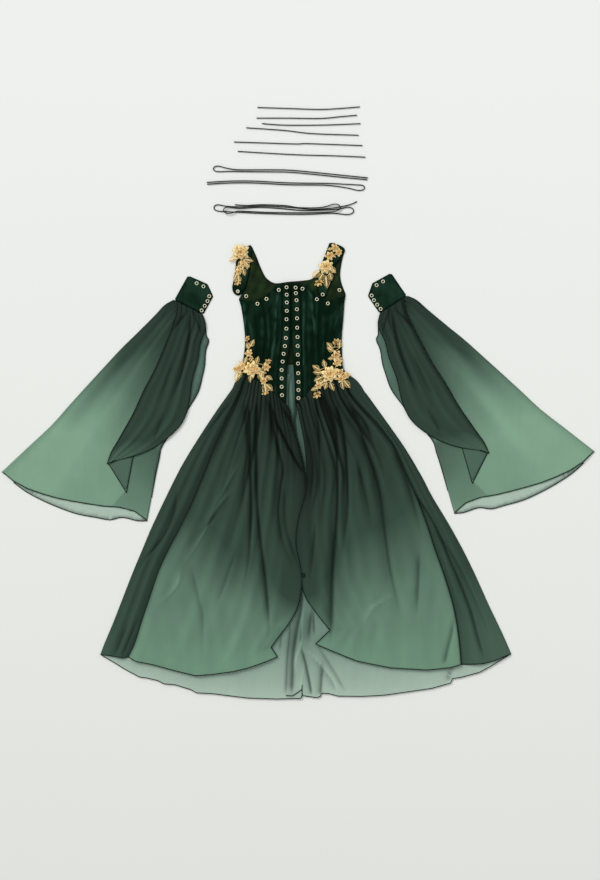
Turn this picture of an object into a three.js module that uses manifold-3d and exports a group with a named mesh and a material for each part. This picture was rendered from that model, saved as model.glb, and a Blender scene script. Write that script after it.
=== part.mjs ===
// A laced medieval style dress with detached trumpet sleeves and its nine laces, laid out flat.
// Millimetres, +Z up. The floor is z = 0, +Y points to the shoulders, the origin is the middle
// of the garment's footprint. Left and right are as seen from above.
import * as THREE from "three";
import { mergeVertices } from "three/addons/utils/BufferGeometryUtils.js";
import Module from "manifold-3d";

// ---- driving dimensions -------------------------------------------------------------------
const CHIFFON = 1; // wall of one chiffon layer
const VELVET = 1.6; // velvet with its lining
const LINED_BACK = 1.2; // back of the bodice, lining side up
const LAYER_GAP = 0.3; // air between two layers that lie on each other
const SEAM_GAP = 0.6; // air between two pieces sewn edge to edge
const BODICE_CROWN = 6.5; // how far the boned front arches above its side seams
const CROWN_RUN = 36; // distance from the side over which it rises
const WAIST_Y = 330; // seam of the back skirt
const GATHERS_PER_SIDE = 17; // gathers of one front skirt panel at the waist
const GATHER_HEIGHT = 3.4;
const LAP_LIFT = 2; // right front skirt edge lies on the left one
const EYELET_RADIUS = 5.5;
const EYELET_BORE = 2.5;
const EYELET_PROUD = 0.7;
const EYELET_SIDES = 6;
const CUFF_Y = -87; // lower edge of a cuff in its sleeve's own frame
const SLEEVE_GATHERS = 6;
const LACE_DIAMETER = 3;
const HANK_HEIGHT = 7;
const STEM_WIDTH = 2.6; // thread bars that join an applique's flowers and leaves
const NET = 0.9; // their thickness

// Heights of the undersides of the stacked layers.
const UNDERSKIRT_BACK_Z = CHIFFON + LAYER_GAP;
const UNDERSKIRT_FRONT_Z = UNDERSKIRT_BACK_Z + CHIFFON + LAYER_GAP;
const OVERSKIRT_Z = UNDERSKIRT_FRONT_Z + CHIFFON + LAYER_GAP;
const BODICE_FRONT_Z = LINED_BACK + LAYER_GAP;
const UNDER_FOLD = 3; // folds of the underskirt along the centre front

const COLOURS = {
  velvet: 0x0f3122,
  lining: 0x26351c,
  overskirt: 0x3f5a4c,
  gore: 0x2c4237,
  underskirt: 0x9db5a3,
  sleeve: 0x79a088,
  sleeveUnder: 0xb0c4b5,
  overlay: 0x33473c,
  gold: 0xd9ae66,
  lace: 0x1d3324,
};

// ---- small helpers ------------------------------------------------------------------------
const wasm = await Module();
wasm.setup();
const dress = new THREE.Group();

const clamp01 = (t) => Math.min(1, Math.max(0, t));
const smooth = (t) => clamp01(t) ** 2 * (3 - 2 * clamp01(t));
const bell = (distance, width) => Math.exp(-((distance / width) ** 2));
const hump = (u) => 4 * u * (1 - u);

// Straight interpolation of column `to` against the falling column `from` of a table.
function lookUp(table, from, to, value) {
  for (let i = 1; i < table.length; i++) {
    const above = table[i - 1];
    const below = table[i];
    if (value >= below[from] || i === table.length - 1) {
      const t = (above[from] - value) / (above[from] - below[from]);
      return above[to] + (below[to] - above[to]) * t;
    }
  }
  return table[0][to];
}

// Turns rows with an order of columns into rows with named columns.
function named(columns, rows) {
  return rows.map((row) => Object.fromEntries(columns.map((column, i) => [column, row[i]])));
}

function addMesh(group, name, geometry, colour, roughness = 0.9, metalness = 0) {
  const material = new THREE.MeshStandardMaterial({ color: colour, roughness, metalness });
  const mesh = new THREE.Mesh(geometry, material);
  mesh.name = name;
  group.add(mesh);
  return mesh;
}

// A BufferGeometry as a solid that can be joined and cut, and back again.
function solidOf(geometry) {
  const bare = geometry.clone();
  bare.deleteAttribute("normal");
  bare.deleteAttribute("uv");
  const merged = mergeVertices(bare, 1e-4);
  return new wasm.Manifold(
    new wasm.Mesh({
      numProp: 3,
      vertProperties: merged.attributes.position.array,
      triVerts: new Uint32Array(merged.index.array),
    }),
  );
}

function geometryOf(solid) {
  const mesh = solid.getMesh();
  const geometry = new THREE.BufferGeometry();
  geometry.setAttribute("position", new THREE.BufferAttribute(mesh.vertProperties, 3));
  geometry.setIndex(new THREE.BufferAttribute(mesh.triVerts, 1));
  return geometry;
}

// ---- walls of cloth -----------------------------------------------------------------------
// A row of a cloth wall is a curve u -> [x, y], 0 to 1 across the piece.
function across(from, to, bow = 0, shape = hump) {
  return (u) => [
    from[0] + (to[0] - from[0]) * u,
    from[1] + (to[1] - from[1]) * u + bow * shape(u),
  ];
}

// A wall with one ring of points for each row: underside at underside(u, v, x, y, column).
// share(t) crowds the columns where the wall bends most.
function clothWall(rows, columns, thickness, underside, share = (t) => t) {
  const positions = [];
  const index = [];
  const perRow = columns + 1;
  const layerSize = rows.length * perRow;
  for (const lift of [0, thickness]) {
    rows.forEach((row, r) => {
      for (let c = 0; c <= columns; c++) {
        const u = share(c / columns);
        const [x, y] = row(u);
        positions.push(x, y, underside(u, r / (rows.length - 1), x, y, c) + lift);
      }
    });
  }
  const [ax, ay] = rows[0](0);
  const [bx, by] = rows[0](1);
  const [cx, cy] = rows[rows.length - 1](0.5);
  const turned = (bx - ax) * (cy - ay) - (by - ay) * (cx - ax) < 0;
  const quad = (a, b, c, d) => {
    if (turned) index.push(a, c, b, a, d, c);
    else index.push(a, b, c, a, c, d);
  };
  const at = (r, c) => r * perRow + c;
  for (let r = 0; r < rows.length - 1; r++) {
    for (let c = 0; c < columns; c++) {
      const corners = [at(r, c), at(r, c + 1), at(r + 1, c + 1), at(r + 1, c)];
      quad(...corners.map((corner) => corner + layerSize));
      quad(...corners.reverse());
    }
  }
  const rim = (a, b) => quad(a, b, b + layerSize, a + layerSize);
  for (let c = 0; c < columns; c++) {
    rim(at(0, c), at(0, c + 1));
    rim(at(rows.length - 1, c + 1), at(rows.length - 1, c));
  }
  for (let r = 0; r < rows.length - 1; r++) {
    rim(at(r + 1, 0), at(r, 0));
    rim(at(r, columns), at(r + 1, columns));
  }
  const geometry = new THREE.BufferGeometry();
  geometry.setAttribute("position", new THREE.Float32BufferAttribute(positions, 3));
  geometry.setIndex(index);
  return geometry;
}

// A flat layer between z and z + thickness with a straight sided outline.
function flatLayer(outline, z, thickness) {
  const shape = new THREE.Shape(outline.map(([x, y]) => new THREE.Vector2(x, y)));
  const geometry = new THREE.ExtrudeGeometry(shape, { depth: thickness, bevelEnabled: false });
  return geometry.translate(0, 0, z);
}

function upright(radius, height, sides) {
  return new THREE.CylinderGeometry(radius, radius, height, sides).rotateX(Math.PI / 2);
}

// Metal rings pressed through a wall: [x, y] centres, wallZ(x, y) its underside there.
function withEyelets(geometry, centres, wallZ, thickness) {
  let wall = solidOf(geometry);
  for (const [x, y] of centres) {
    const bottom = wallZ(x, y);
    const height = thickness / 2 + EYELET_PROUD;
    const middle = bottom + thickness / 2 + height / 2;
    const flange = upright(EYELET_RADIUS, height, EYELET_SIDES).translate(x, y, middle);
    const bore = upright(EYELET_BORE, 20, EYELET_SIDES).translate(x, y, bottom);
    wall = wall.add(solidOf(flange)).subtract(solidOf(bore));
  }
  return geometryOf(wall);
}

// ---- the outline of the garment -----------------------------------------------------------
// Side of the bodice from underarm to hip.
const BODICE_SIDE_LEFT = named(["y", "x"], [
  [533, -184],
  [510, -177],
  [480, -172],
  [450, -168],
  [420, -165],
  [390, -165],
  [362, -168],
  [335, -173],
  [312, -177],
  [299, -179],
]);
const WAIST_LEFT = -174; // ends of the back's seam to the skirt
const WAIST_RIGHT = 138;
const BODICE_SIDE_RIGHT = named(["y", "x"], [
  [545, 147],
  [520, 143],
  [490, 141],
  [460, 139],
  [430, 136],
  [400, 135],
  [365, 136],
  [335, 137],
  [312, 142],
  [297, 152],
]);

// Outer edge of each placket, row by row with the side of the bodice.
const PLACKET_SEAM_LEFT = [
  [-48.5, 580],
  [-48.5, 545],
  [-48.5, 505],
  [-48.5, 465],
  [-49, 430],
  [-52, 395],
  [-56, 360],
  [-61, 320],
  [-63, 280],
  [-62, 232],
];
const PLACKET_SEAM_RIGHT = [
  [6, 580],
  [6.5, 545],
  [7, 505],
  [8, 465],
  [9, 430],
  [10, 395],
  [11, 360],
  [12, 320],
  [12.5, 280],
  [13, 226],
];

// Centre front edge of each placket.
const PLACKET_EDGE_LEFT = [
  [-24, 583],
  [-24, 468],
  [-26, 391],
  [-32, 338],
  [-36, 285],
  [-37, 206],
];
const PLACKET_EDGE_RIGHT = [
  [-20, 583],
  [-20, 427],
  [-16, 338],
  [-12, 285],
  [-9, 203.5],
];

// The pointed waist seam from the side to the centre front.
const BASQUE_LEFT = named(["x", "y"], [
  [-37, 206],
  [-55, 222],
  [-68, 236],
  [-84, 248],
  [-112, 270],
  [-143, 288],
  [-179, 299],
]);
const BASQUE_RIGHT = named(["x", "y"], [
  [152, 297],
  [118, 288],
  [74, 273],
  [35, 249],
  [23, 235],
  [7, 219],
  [-9, 203],
]);

// Skirt, row by row from waist to hem: side fold, seam of gore and front, centre front edge,
// and how far the row sags below its straight line in the front and in the gore.
const SKIRT_COLUMNS = ["side", "seam", "front", "sag", "goreSag"];
const SKIRT_LEFT = named(SKIRT_COLUMNS, [
  [[-179, 298], [-160, 292], [-37, 205], 0, 0],
  [[-203, 257], [-178, 252], [-18, 150], 5, 0],
  [[-250, 191], [-205, 192], [5, 72], 0, 0],
  [[-303, 111], [-243, 110], [22, -9], -3, 0],
  [[-362, 14], [-284, 8], [28, -90], -6, 0],
  [[-415, -92], [-325, -92], [28, -190], -10, 0],
  [[-455, -177], [-366, -177], [22, -290], -15, 0],
  [[-484, -246], [-402, -246], [9, -371], -20, 0],
  [[-512, -313], [-432, -313], [-2, -422], -25, 0],
  [[-544, -395], [-460, -395], [-26, -467], -32, 0],
  [[-572, -467], [-484, -467], [-56, -507], -40, 0],
  [[-600, -534], [-505, -534], [-84, -545], -50, -1],
  [[-613, -567], [-525, -576], [-64, -575], -57, -2],
]);
const SKIRT_RIGHT = named(SKIRT_COLUMNS, [
  [[152, 297], [140, 291], [-9, 202], 0, 0],
  [[204, 248], [156, 250], [5, 160], 8, 0],
  [[240, 200], [190, 205], [18, 95], 2, 0],
  [[281, 143], [240, 150], [25, 25], 0, 0],
  [[333, 68], [296, 75], [25, -55], -3, 0],
  [[382, -15], [335, -12], [0, -150], -6, 0],
  [[416, -80], [366, -80], [-7, -225], -10, 0],
  [[467, -165], [398, -165], [8, -300], -14, 0],
  [[511, -245], [424, -245], [18, -379], -18, 0],
  [[550, -325], [452, -325], [56, -440], -20, 0],
  [[589, -412], [478, -412], [98, -493], -24, -2],
  [[631, -500], [495, -505], [76, -514], -30, -7],
  [[660, -566], [504, -599], [54, -535], -38, -13],
]);
const UNDER_HEM_SAG_LEFT = -47;
const UNDER_HEM_SAG_RIGHT = -46;
const UNDER_HEM_CENTRE = [2, -703.6];
const UNDERSKIRT_ROWS = [0, 1, 2, 4, 6, 8, 10]; // rows of the skirt table it follows
const CENTRE_SPLIT = 12; // width of the gap between the two front underskirt hems

// Distance of a point from the garment's side, positive inside.
function sideDistance(x, y) {
  const left = x < 0;
  const bodice = left ? BODICE_SIDE_LEFT : BODICE_SIDE_RIGHT;
  const skirt = (left ? SKIRT_LEFT : SKIRT_RIGHT).map((row) => ({ x: row.side[0], y: row.side[1] }));
  const table = y > skirt[0].y ? bodice : skirt;
  const side = lookUp(table, "y", "x", Math.min(y, table[0].y));
  return left ? x - side : side - x;
}

// ---- bodice -------------------------------------------------------------------------------
const NECK_AND_SHOULDERS = [
  [-157, 697],
  [-147, 700],
  [-134, 675],
  [-124, 651],
  [-114, 626],
  [-103, 604],
  [-90, 591],
  [-77, 584],
  [-63, 582],
  [-27, 587],
  [11, 590],
  [43, 596],
  [62, 617],
  [79, 655],
  [92, 693],
  [102, 708],
  [143, 691],
  [139, 665],
  [133, 637],
  [130, 609],
  [133, 587],
  [140, 566],
  [148, 548],
];
const LEFT_ARMHOLE = [
  [-184, 534],
  [-168, 560],
  [-158, 590],
  [-152, 630],
  [-155, 670],
];
const BACK_EYELETS = [
  [-161, 542],
  [128, 561],
];

function bodiceBack() {
  const rightSide = BODICE_SIDE_RIGHT.filter(({ y }) => y > WAIST_Y).map(({ x, y }) => [x, y]);
  const leftSide = BODICE_SIDE_LEFT.filter(({ y }) => y > WAIST_Y).map(({ x, y }) => [x, y]);
  const outline = [
    ...NECK_AND_SHOULDERS,
    ...rightSide,
    [WAIST_RIGHT, WAIST_Y],
    [WAIST_LEFT, WAIST_Y],
    ...leftSide.reverse(),
    ...LEFT_ARMHOLE.slice(1),
  ];
  const plate = flatLayer(outline, 0, LINED_BACK);
  const holed = withEyelets(plate, BACK_EYELETS, () => 0, LINED_BACK);
  addMesh(dress, "bodice_back", holed, COLOURS.lining);
}

// Seams and boning pull long troughs into the velvet: share of the width at the top and at
// the waist, depth and width in millimetres.
const BODICE_TROUGHS = named(["top", "waist", "depth", "width"], [
  [0.3, 0.42, 2.6, 7],
  [0.52, 0.6, 3, 6],
  [0.68, 0.74, 2.2, 6],
  [0.86, 0.87, 1.8, 5],
]);

// Underside of the bodice front at its side seam: it climbs over the skirt's layers at the waist.
const sideFloor = (y) =>
  BODICE_FRONT_Z + (OVERSKIRT_Z - BODICE_FRONT_Z) * smooth((WAIST_Y + 30 - y) / 24);

function bodiceFloor(x, y) {
  const side = sideFloor(y);
  return side + (BODICE_FRONT_Z + BODICE_CROWN - side) * smooth((sideDistance(x, y) - 2) / CROWN_RUN);
}

function frontFloor(u, v, x, y) {
  const span = 130;
  let z = bodiceFloor(x, y);
  for (const trough of BODICE_TROUGHS) {
    const centre = trough.top + (trough.waist - trough.top) * v;
    const fade = smooth(sideDistance(x, y) / CROWN_RUN) * (0.35 + 0.65 * Math.sin(Math.PI * v));
    z -= trough.depth * fade * bell((u - centre) * span, trough.width);
  }
  return z;
}

const cupShape = (u) => Math.sin(Math.PI * clamp01(u / 0.86));
const CUP_SAG = {
  left: [-22, -14, -6, 0, 0, 0, 0, 0, 0],
  right: [-27, -17, -7, 0, 0, 0, 0, 0, 0],
};

function alongBasque(table, fromX, toX, shift) {
  return (u) => {
    const x = fromX + (toX - fromX) * u;
    const falling = table[0].x > table[table.length - 1].x ? table : [...table].reverse();
    return [x, lookUp(falling, "x", "y", x) + shift];
  };
}

const FRONT_EYELETS = {
  left: [
    [-60, 561],
    [-98, 533],
    [-126, 518],
  ],
  right: [
    [13.5, 564.5],
    [58, 532],
    [92, 519],
  ],
};

function bodiceFront(side, sideTable, seam, basque) {
  const gap = side === "left" ? -SEAM_GAP : SEAM_GAP;
  const rows = sideTable.slice(0, -1).map(({ x, y }, i) =>
    across([x, y], [seam[i][0] + gap, seam[i][1]], CUP_SAG[side][i], cupShape),
  );
  const lastSide = sideTable[sideTable.length - 1];
  const lastSeam = seam[seam.length - 1];
  rows.push(alongBasque(basque, lastSide.x, lastSeam[0] + gap, SEAM_GAP / 2));
  const wall = clothWall(rows, 12, VELVET, frontFloor);
  const eyeletFloor = (x, y) => bodiceFloor(x, y) - 0.2;
  const holed = withEyelets(wall, FRONT_EYELETS[side], eyeletFloor, VELVET);
  addMesh(dress, `bodice_front_${side}`, holed, COLOURS.velvet);
}

// Rows of lacing eyelets down the two plackets.
const PLACKET_EYELETS = {
  left: [
    [-36, 569],
    [-35.5, 546],
    [-35, 522],
    [-35, 496],
    [-36, 470],
    [-36.5, 441],
    [-38, 412],
    [-41, 387],
    [-45, 363],
    [-48, 339],
    [-51, 313],
    [-51, 287],
    [-51, 261],
    [-50, 235],
  ],
  right: [
    [-8, 568],
    [-7, 551],
    [-5, 529],
    [-4, 501],
    [-3.5, 473],
    [-3, 444],
    [-2, 415],
    [-1.5, 387],
    [-1, 360],
    [-0.5, 333],
    [0, 303],
    [1, 276],
    [1, 251],
    [1, 226],
  ],
};

function placket(side, seam, edge, foot) {
  const outline = [...seam, ...foot, ...[...edge].reverse()];
  const z = BODICE_FRONT_Z + BODICE_CROWN;
  const plate = flatLayer(outline, z, VELVET);
  const holed = withEyelets(plate, PLACKET_EYELETS[side], () => z, VELVET);
  addMesh(dress, `placket_${side}`, holed, COLOURS.velvet);
}

// Shoulder straps: velvet tabs with one eyelet that lie on the back's shoulders.
const STRAP_OUTLINES = {
  left: [
    [-143, 700],
    [-146, 650],
    [-149, 623],
    [-152, 609],
    [-157, 587],
    [-162, 569],
    [-169, 557],
    [-176, 548],
    [-186, 544],
    [-197, 549],
    [-203, 559],
    [-204, 573],
    [-201, 587],
    [-196, 616],
    [-192, 651],
    [-186, 691],
  ],
  right: [
    [102, 707],
    [143, 690],
    [139, 672],
    [124, 648],
    [110, 623],
    [104, 590],
    [93, 559],
    [88, 543],
    [76, 537],
    [65, 542],
    [60, 556],
    [62, 600],
    [70, 635],
    [83, 670],
    [92, 693],
  ],
};
const STRAP_EYELETS = {
  left: [[-187, 557]],
  right: [[76, 547]],
};

function strap(side) {
  const plate = flatLayer(STRAP_OUTLINES[side], BODICE_FRONT_Z, VELVET);
  const holed = withEyelets(plate, STRAP_EYELETS[side], () => BODICE_FRONT_Z, VELVET);
  addMesh(dress, `strap_${side}`, holed, COLOURS.velvet);
}

// ---- skirt --------------------------------------------------------------------------------
// Centre line that the underskirt's folds and the front opening follow.
const centreLine = (y) => -22 + 34 * smooth((330 - y) / 420);

function underFloor(u, v, x, y) {
  const offset = x - centreLine(y);
  const waves = 0.5 + 0.5 * Math.cos(offset / 7 + 1.5 * Math.sin(y / 160));
  return UNDERSKIRT_FRONT_Z + UNDER_FOLD * waves * bell(offset, 42);
}

// The lowest hem, drawn in from the side folds by inset and raised by rise.
function lowerHem(inset, rise) {
  const drop = inset / 2 - rise;
  const centre = [UNDER_HEM_CENTRE[0], UNDER_HEM_CENTRE[1] + rise];
  return {
    left: across([-613 + inset, -569 - drop], centre, UNDER_HEM_SAG_LEFT),
    right: across(centre, [660 - inset, -567 - drop], UNDER_HEM_SAG_RIGHT),
  };
}

function backOutline(inset, rise) {
  const hem = lowerHem(inset, rise);
  const outline = [[WAIST_LEFT + inset, WAIST_Y - SEAM_GAP]];
  SKIRT_LEFT.slice(0, -1).forEach(({ side: [x, y] }) => outline.push([x + inset, y]));
  for (let i = 0; i <= 12; i++) outline.push(hem.left(i / 12));
  for (let i = 1; i <= 12; i++) outline.push(hem.right(i / 12));
  [...SKIRT_RIGHT].slice(0, -1).reverse().forEach(({ side: [x, y] }) => outline.push([x - inset, y]));
  outline.push([WAIST_RIGHT - inset, WAIST_Y - SEAM_GAP]);
  return outline;
}

function backSkirts() {
  const over = flatLayer(backOutline(0, 12), 0, CHIFFON);
  addMesh(dress, "overskirt_back", over, COLOURS.overskirt);
  const under = flatLayer(backOutline(14, 0), UNDERSKIRT_BACK_Z, CHIFFON);
  addMesh(dress, "underskirt_back", under, COLOURS.underskirt);
}

function underskirtFront(side, table, hemSag) {
  const inset = side === "left" ? 18 : -18;
  const split = side === "left" ? -CENTRE_SPLIT / 2 : CENTRE_SPLIT / 2;
  const hemY = UNDER_HEM_CENTRE[1] + 4;
  const last = table.length - 1;
  const rows = UNDERSKIRT_ROWS.map((i) => {
    const [x, y] = table[i].side;
    const centreY = 300 + (hemY - 300) * (i / last);
    const open = split * (0.2 + 0.8 * (i / last) ** 3);
    return across([x + inset, y], [centreLine(centreY) + open, centreY], hemSag * (i / last) ** 2);
  });
  const [hemX, sideY] = table[last].side;
  rows.push(across([hemX + inset, sideY - 4], [UNDER_HEM_CENTRE[0] + 9 + split, hemY], hemSag));
  const wall = clothWall(rows, 12, CHIFFON, underFloor, (t) => 1 - (1 - t) ** 1.7);
  addMesh(dress, `underskirt_front_${side}`, wall, COLOURS.underskirt);
}

// Height of the overskirt's lower side before its own folds.
function overBase(x, y) {
  const side = UNDERSKIRT_BACK_Z - OVERSKIRT_Z;
  const overFolds = (UNDER_FOLD + 0.5) * bell(x - centreLine(y), 60);
  return OVERSKIRT_Z + overFolds + side * (1 - smooth(sideDistance(x, y) / 9));
}

// Long folds: share across the panel (0 seam of the gore, 1 centre front) at the waist and at
// the hem, height, width as a share, and the shares of the length where each begins and ends.
const FOLD_COLUMNS = ["waist", "hem", "height", "width", "from", "to"];
const FOLDS_LEFT = named(FOLD_COLUMNS, [
  [0.1, 0.04, 7, 0.04, 0.1, 1.2],
  [0.22, 0.17, 5, 0.05, 0.15, 0.8],
  [0.34, 0.3, 8, 0.045, 0.05, 1.1],
  [0.44, 0.46, 6, 0.05, 0.1, 1.3],
  [0.53, 0.58, 10, 0.04, 0.04, 0.9],
  [0.62, 0.68, 12, 0.045, 0.04, 1.2],
  [0.71, 0.78, 8, 0.04, 0.06, 0.8],
  [0.79, 0.87, 10, 0.04, 0.05, 1.1],
  [0.88, 0.93, 6, 0.035, 0.06, 0.7],
]);
const FOLDS_RIGHT = named(FOLD_COLUMNS, [
  [0.08, 0.05, 6, 0.045, 0.1, 1.2],
  [0.19, 0.2, 6, 0.05, 0.12, 0.9],
  [0.3, 0.36, 8, 0.045, 0.06, 1.1],
  [0.4, 0.47, 6, 0.05, 0.1, 0.8],
  [0.49, 0.58, 8, 0.045, 0.05, 1.2],
  [0.58, 0.7, 12, 0.04, 0.04, 1],
  [0.68, 0.8, 9, 0.04, 0.05, 1.2],
  [0.78, 0.88, 11, 0.04, 0.05, 1.1],
  [0.88, 0.94, 5, 0.035, 0.06, 0.7],
]);
const GORE_FOLDS = named(FOLD_COLUMNS, [
  [0.35, 0.3, 4, 0.12, 0.15, 1.1],
  [0.7, 0.66, 5, 0.13, 0.1, 1.2],
]);

function foldHeight(folds, u, v) {
  let height = 0;
  for (const fold of folds) {
    const centre = fold.waist + (fold.hem - fold.waist) * v;
    const fade = smooth((v - fold.from) / 0.2) * smooth((fold.to - v) / 0.35);
    height += fold.height * fade * bell(u - centre, fold.width);
  }
  return height;
}

function overskirtFront(side, table, basque, folds) {
  const gap = side === "left" ? SEAM_GAP / 2 : -SEAM_GAP / 2;
  const top = table[0];
  const rows = [alongBasque(basque, top.seam[0] + gap, top.front[0], -SEAM_GAP)];
  table.slice(1).forEach(({ seam, front, sag }) => {
    rows.push(across([seam[0] + gap, seam[1]], front, sag));
  });
  const floor = (u, v, x, y, column) => {
    const atSide = smooth((sideDistance(x, y) - 4) / 34);
    const gather = (column % 2) * GATHER_HEIGHT * clamp01(1 - v / 0.26);
    const flatEdge = side === "left" ? smooth((-22 - x) / 60) : 1;
    const edgeFade = side === "left" ? Math.max(flatEdge, smooth((y + 20) / 80), smooth((-430 - y) / 60)) : 1;
    const lapped = side === "right" ? LAP_LIFT * smooth((90 - x) / 50) * smooth((60 - y) / 60) : 0;
    const own = (gather + foldHeight(folds, u, v)) * atSide * edgeFade;
    return overBase(x, y) + lapped + own * (1 - 0.5 * smooth((u - 0.93) / 0.07));
  };
  const wall = clothWall(rows, GATHERS_PER_SIDE * 2, CHIFFON, floor);
  addMesh(dress, `overskirt_front_${side}`, wall, COLOURS.overskirt);
}

function sideGore(side, table, basque) {
  const gap = side === "left" ? -SEAM_GAP / 2 : SEAM_GAP / 2;
  const top = table[0];
  const rows = [alongBasque(basque, top.side[0], top.seam[0] + gap, -SEAM_GAP * 1.5)];
  table.slice(1).forEach((row) => {
    rows.push(across(row.side, [row.seam[0] + gap, row.seam[1]], row.goreSag));
  });
  const floor = (u, v, x, y) => {
    const inner = smooth(u / 0.25) * smooth((1 - u) / 0.2);
    return overBase(x, y) + foldHeight(GORE_FOLDS, u, v) * inner * smooth(v / 0.3);
  };
  const wall = clothWall(rows, 8, CHIFFON, floor, (t) => t ** 1.5);
  addMesh(dress, `side_gore_${side}`, wall, COLOURS.gore);
}

// ---- sleeves ------------------------------------------------------------------------------
// In a sleeve's own frame the cuff's outer upper corner is the origin and -Y runs to the hem.
const SLEEVES = {
  left: { x: -341.5, y: 606, turn: -27.1, mirror: 1 },
  right: { x: 287.8, y: 614, turn: 32.4, mirror: -1 },
};
const CUFF_OUTLINE = [
  [0, 0],
  [66, 4],
  [99, -22],
  [97, CUFF_Y],
  [-3, CUFF_Y],
];
const CUFF_EYELETS = [
  [35, -9],
  [58, -8],
  [88, -27],
  [90, -43],
  [89, -60],
  [87, -77],
];
const SLEEVE_OUTER = [
  [-6, CUFF_Y - 1],
  [-23, -115],
  [-35, -156],
  [-58, -228],
  [-82, -300],
  [-103, -375],
  [-124, -451],
  [-145, -529],
  [-165, -606],
  [-197, -695],
  [-236, -804],
];
const SLEEVE_UPPER_INNER = [
  [92, CUFF_Y - 1],
  [100, -118],
  [108, -160],
  [118, -230],
  [128, -300],
  [140, -375],
  [152, -451],
  [168, -520],
  [187, -588],
  [210, -655],
  [233, -733],
];
// Sag of the upper hem below its straight line, at even steps from the outer to the inner end.
const UPPER_HEM_SAG = [0, -17, -25, -26, -24, -18, -10, -1, 12, 15, 0];
const SLEEVE_UNDER_HEM = [
  [-189, -817],
  [-142, -825],
  [-83, -826],
  [-24, -822],
  [32, -814],
  [89, -797],
  [130, -784],
  [160, -760],
  [207, -748],
  [234, -734],
];
const SLEEVE_UNDER_INNER = [
  [213, -664],
  [193, -597],
  [179, -544],
  [170, -500],
  [189, -392],
  [189, -371],
  [193, -321],
  [191, -292],
  [183, -260],
  [173, -223],
  [156, -184],
  [150, -151],
  [136, -140],
  [122, -118],
  [95, CUFF_Y - 1],
];
const OVERLAY_ROWS = named(["fold", "edge"], [
  [[10, CUFF_Y - 1], [96, CUFF_Y - 1]],
  [[24, -125], [122, -118]],
  [[32, -180], [130, -170]],
  [[38, -245], [147, -222]],
  [[42, -308], [160, -285]],
  [[41, -380], [182, -347]],
  [[44, -455], [192, -405]],
  [[42, -515], [182, -455]],
  [[40, -560], [152, -518]],
  [[38, -595], [110, -570]],
  [[43, -634], [62, -610]],
]);
const TURNBACK_OUTLINE = [
  [46, -631],
  [137, -686],
  [104, -574],
  [84, -584],
];
const SLEEVE_UPPER_FOLDS = named(FOLD_COLUMNS, [
  [0.12, 0.08, 5, 0.06, 0.02, 0.8],
  [0.27, 0.2, 4, 0.06, 0.02, 0.7],
  [0.4, 0.33, 3, 0.05, 0.02, 1],
]);
const OVERLAY_FOLDS = named(FOLD_COLUMNS, [
  [0.15, 0.08, 4, 0.08, 0.02, 0.9],
  [0.35, 0.3, 7, 0.07, 0.01, 1],
  [0.55, 0.5, 5, 0.07, 0.01, 0.8],
  [0.75, 0.78, 7, 0.07, 0.01, 0.9],
]);

function sampleEven(values, u) {
  const place = u * (values.length - 1);
  const i = Math.min(values.length - 2, Math.floor(place));
  return values[i] + (values[i + 1] - values[i]) * (place - i);
}

function sleeve(side) {
  const { x, y, turn, mirror } = SLEEVES[side];
  const group = new THREE.Group();
  group.position.set(x, y, 0);
  group.rotation.z = THREE.MathUtils.degToRad(turn);
  group.scale.x = mirror;
  dress.add(group);

  const cuff = withEyelets(flatLayer(CUFF_OUTLINE, 0, VELVET), CUFF_EYELETS, () => 0, VELVET);
  addMesh(group, `cuff_${side}`, cuff, COLOURS.velvet);

  const underOutline = [...SLEEVE_OUTER, ...SLEEVE_UNDER_HEM, ...SLEEVE_UNDER_INNER];
  addMesh(group, `sleeve_under_${side}`, flatLayer(underOutline, 0, CHIFFON), COLOURS.sleeveUnder);

  const last = SLEEVE_OUTER.length - 1;
  const upperRows = SLEEVE_OUTER.map((outer, i) => {
    const sagged = (u) => sampleEven(UPPER_HEM_SAG, u);
    return across(outer, SLEEVE_UPPER_INNER[i], smooth(i / last - 0.1), sagged);
  });
  const upperFloor = (u, v, px, py, column) => {
    const uncovered = smooth((0.52 - u) / 0.2) * smooth(u / 0.08);
    const gather = (column % 2) * 2.4 * clamp01(1 - v / 0.22);
    return CHIFFON + LAYER_GAP + (gather + foldHeight(SLEEVE_UPPER_FOLDS, u, v)) * uncovered;
  };
  const upper = clothWall(upperRows, SLEEVE_GATHERS * 2, CHIFFON, upperFloor);
  addMesh(group, `sleeve_upper_${side}`, upper, COLOURS.sleeve);

  const turnbackZ = 2 * (CHIFFON + LAYER_GAP);
  const turnback = flatLayer(TURNBACK_OUTLINE, turnbackZ, CHIFFON);
  addMesh(group, `sleeve_turnback_${side}`, turnback, COLOURS.overlay);

  const overlayRows = OVERLAY_ROWS.map(({ fold, edge }) => across(fold, edge));
  const overlayFloor = (u, v, px, py, column) => {
    const overUpper = 2.6 * smooth((0.5 - u) / 0.5) * smooth((0.75 - v) / 0.4);
    const gather = (column % 2) * 2.4 * clamp01(1 - v / 0.25);
    const own = foldHeight(OVERLAY_FOLDS, u, v) * smooth(u / 0.1) * smooth((1 - u) / 0.1);
    return turnbackZ + CHIFFON + LAYER_GAP + overUpper + gather + own;
  };
  const overlay = clothWall(overlayRows, SLEEVE_GATHERS * 2, CHIFFON, overlayFloor);
  addMesh(group, `sleeve_overlay_${side}`, overlay, COLOURS.overlay);
}

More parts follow.
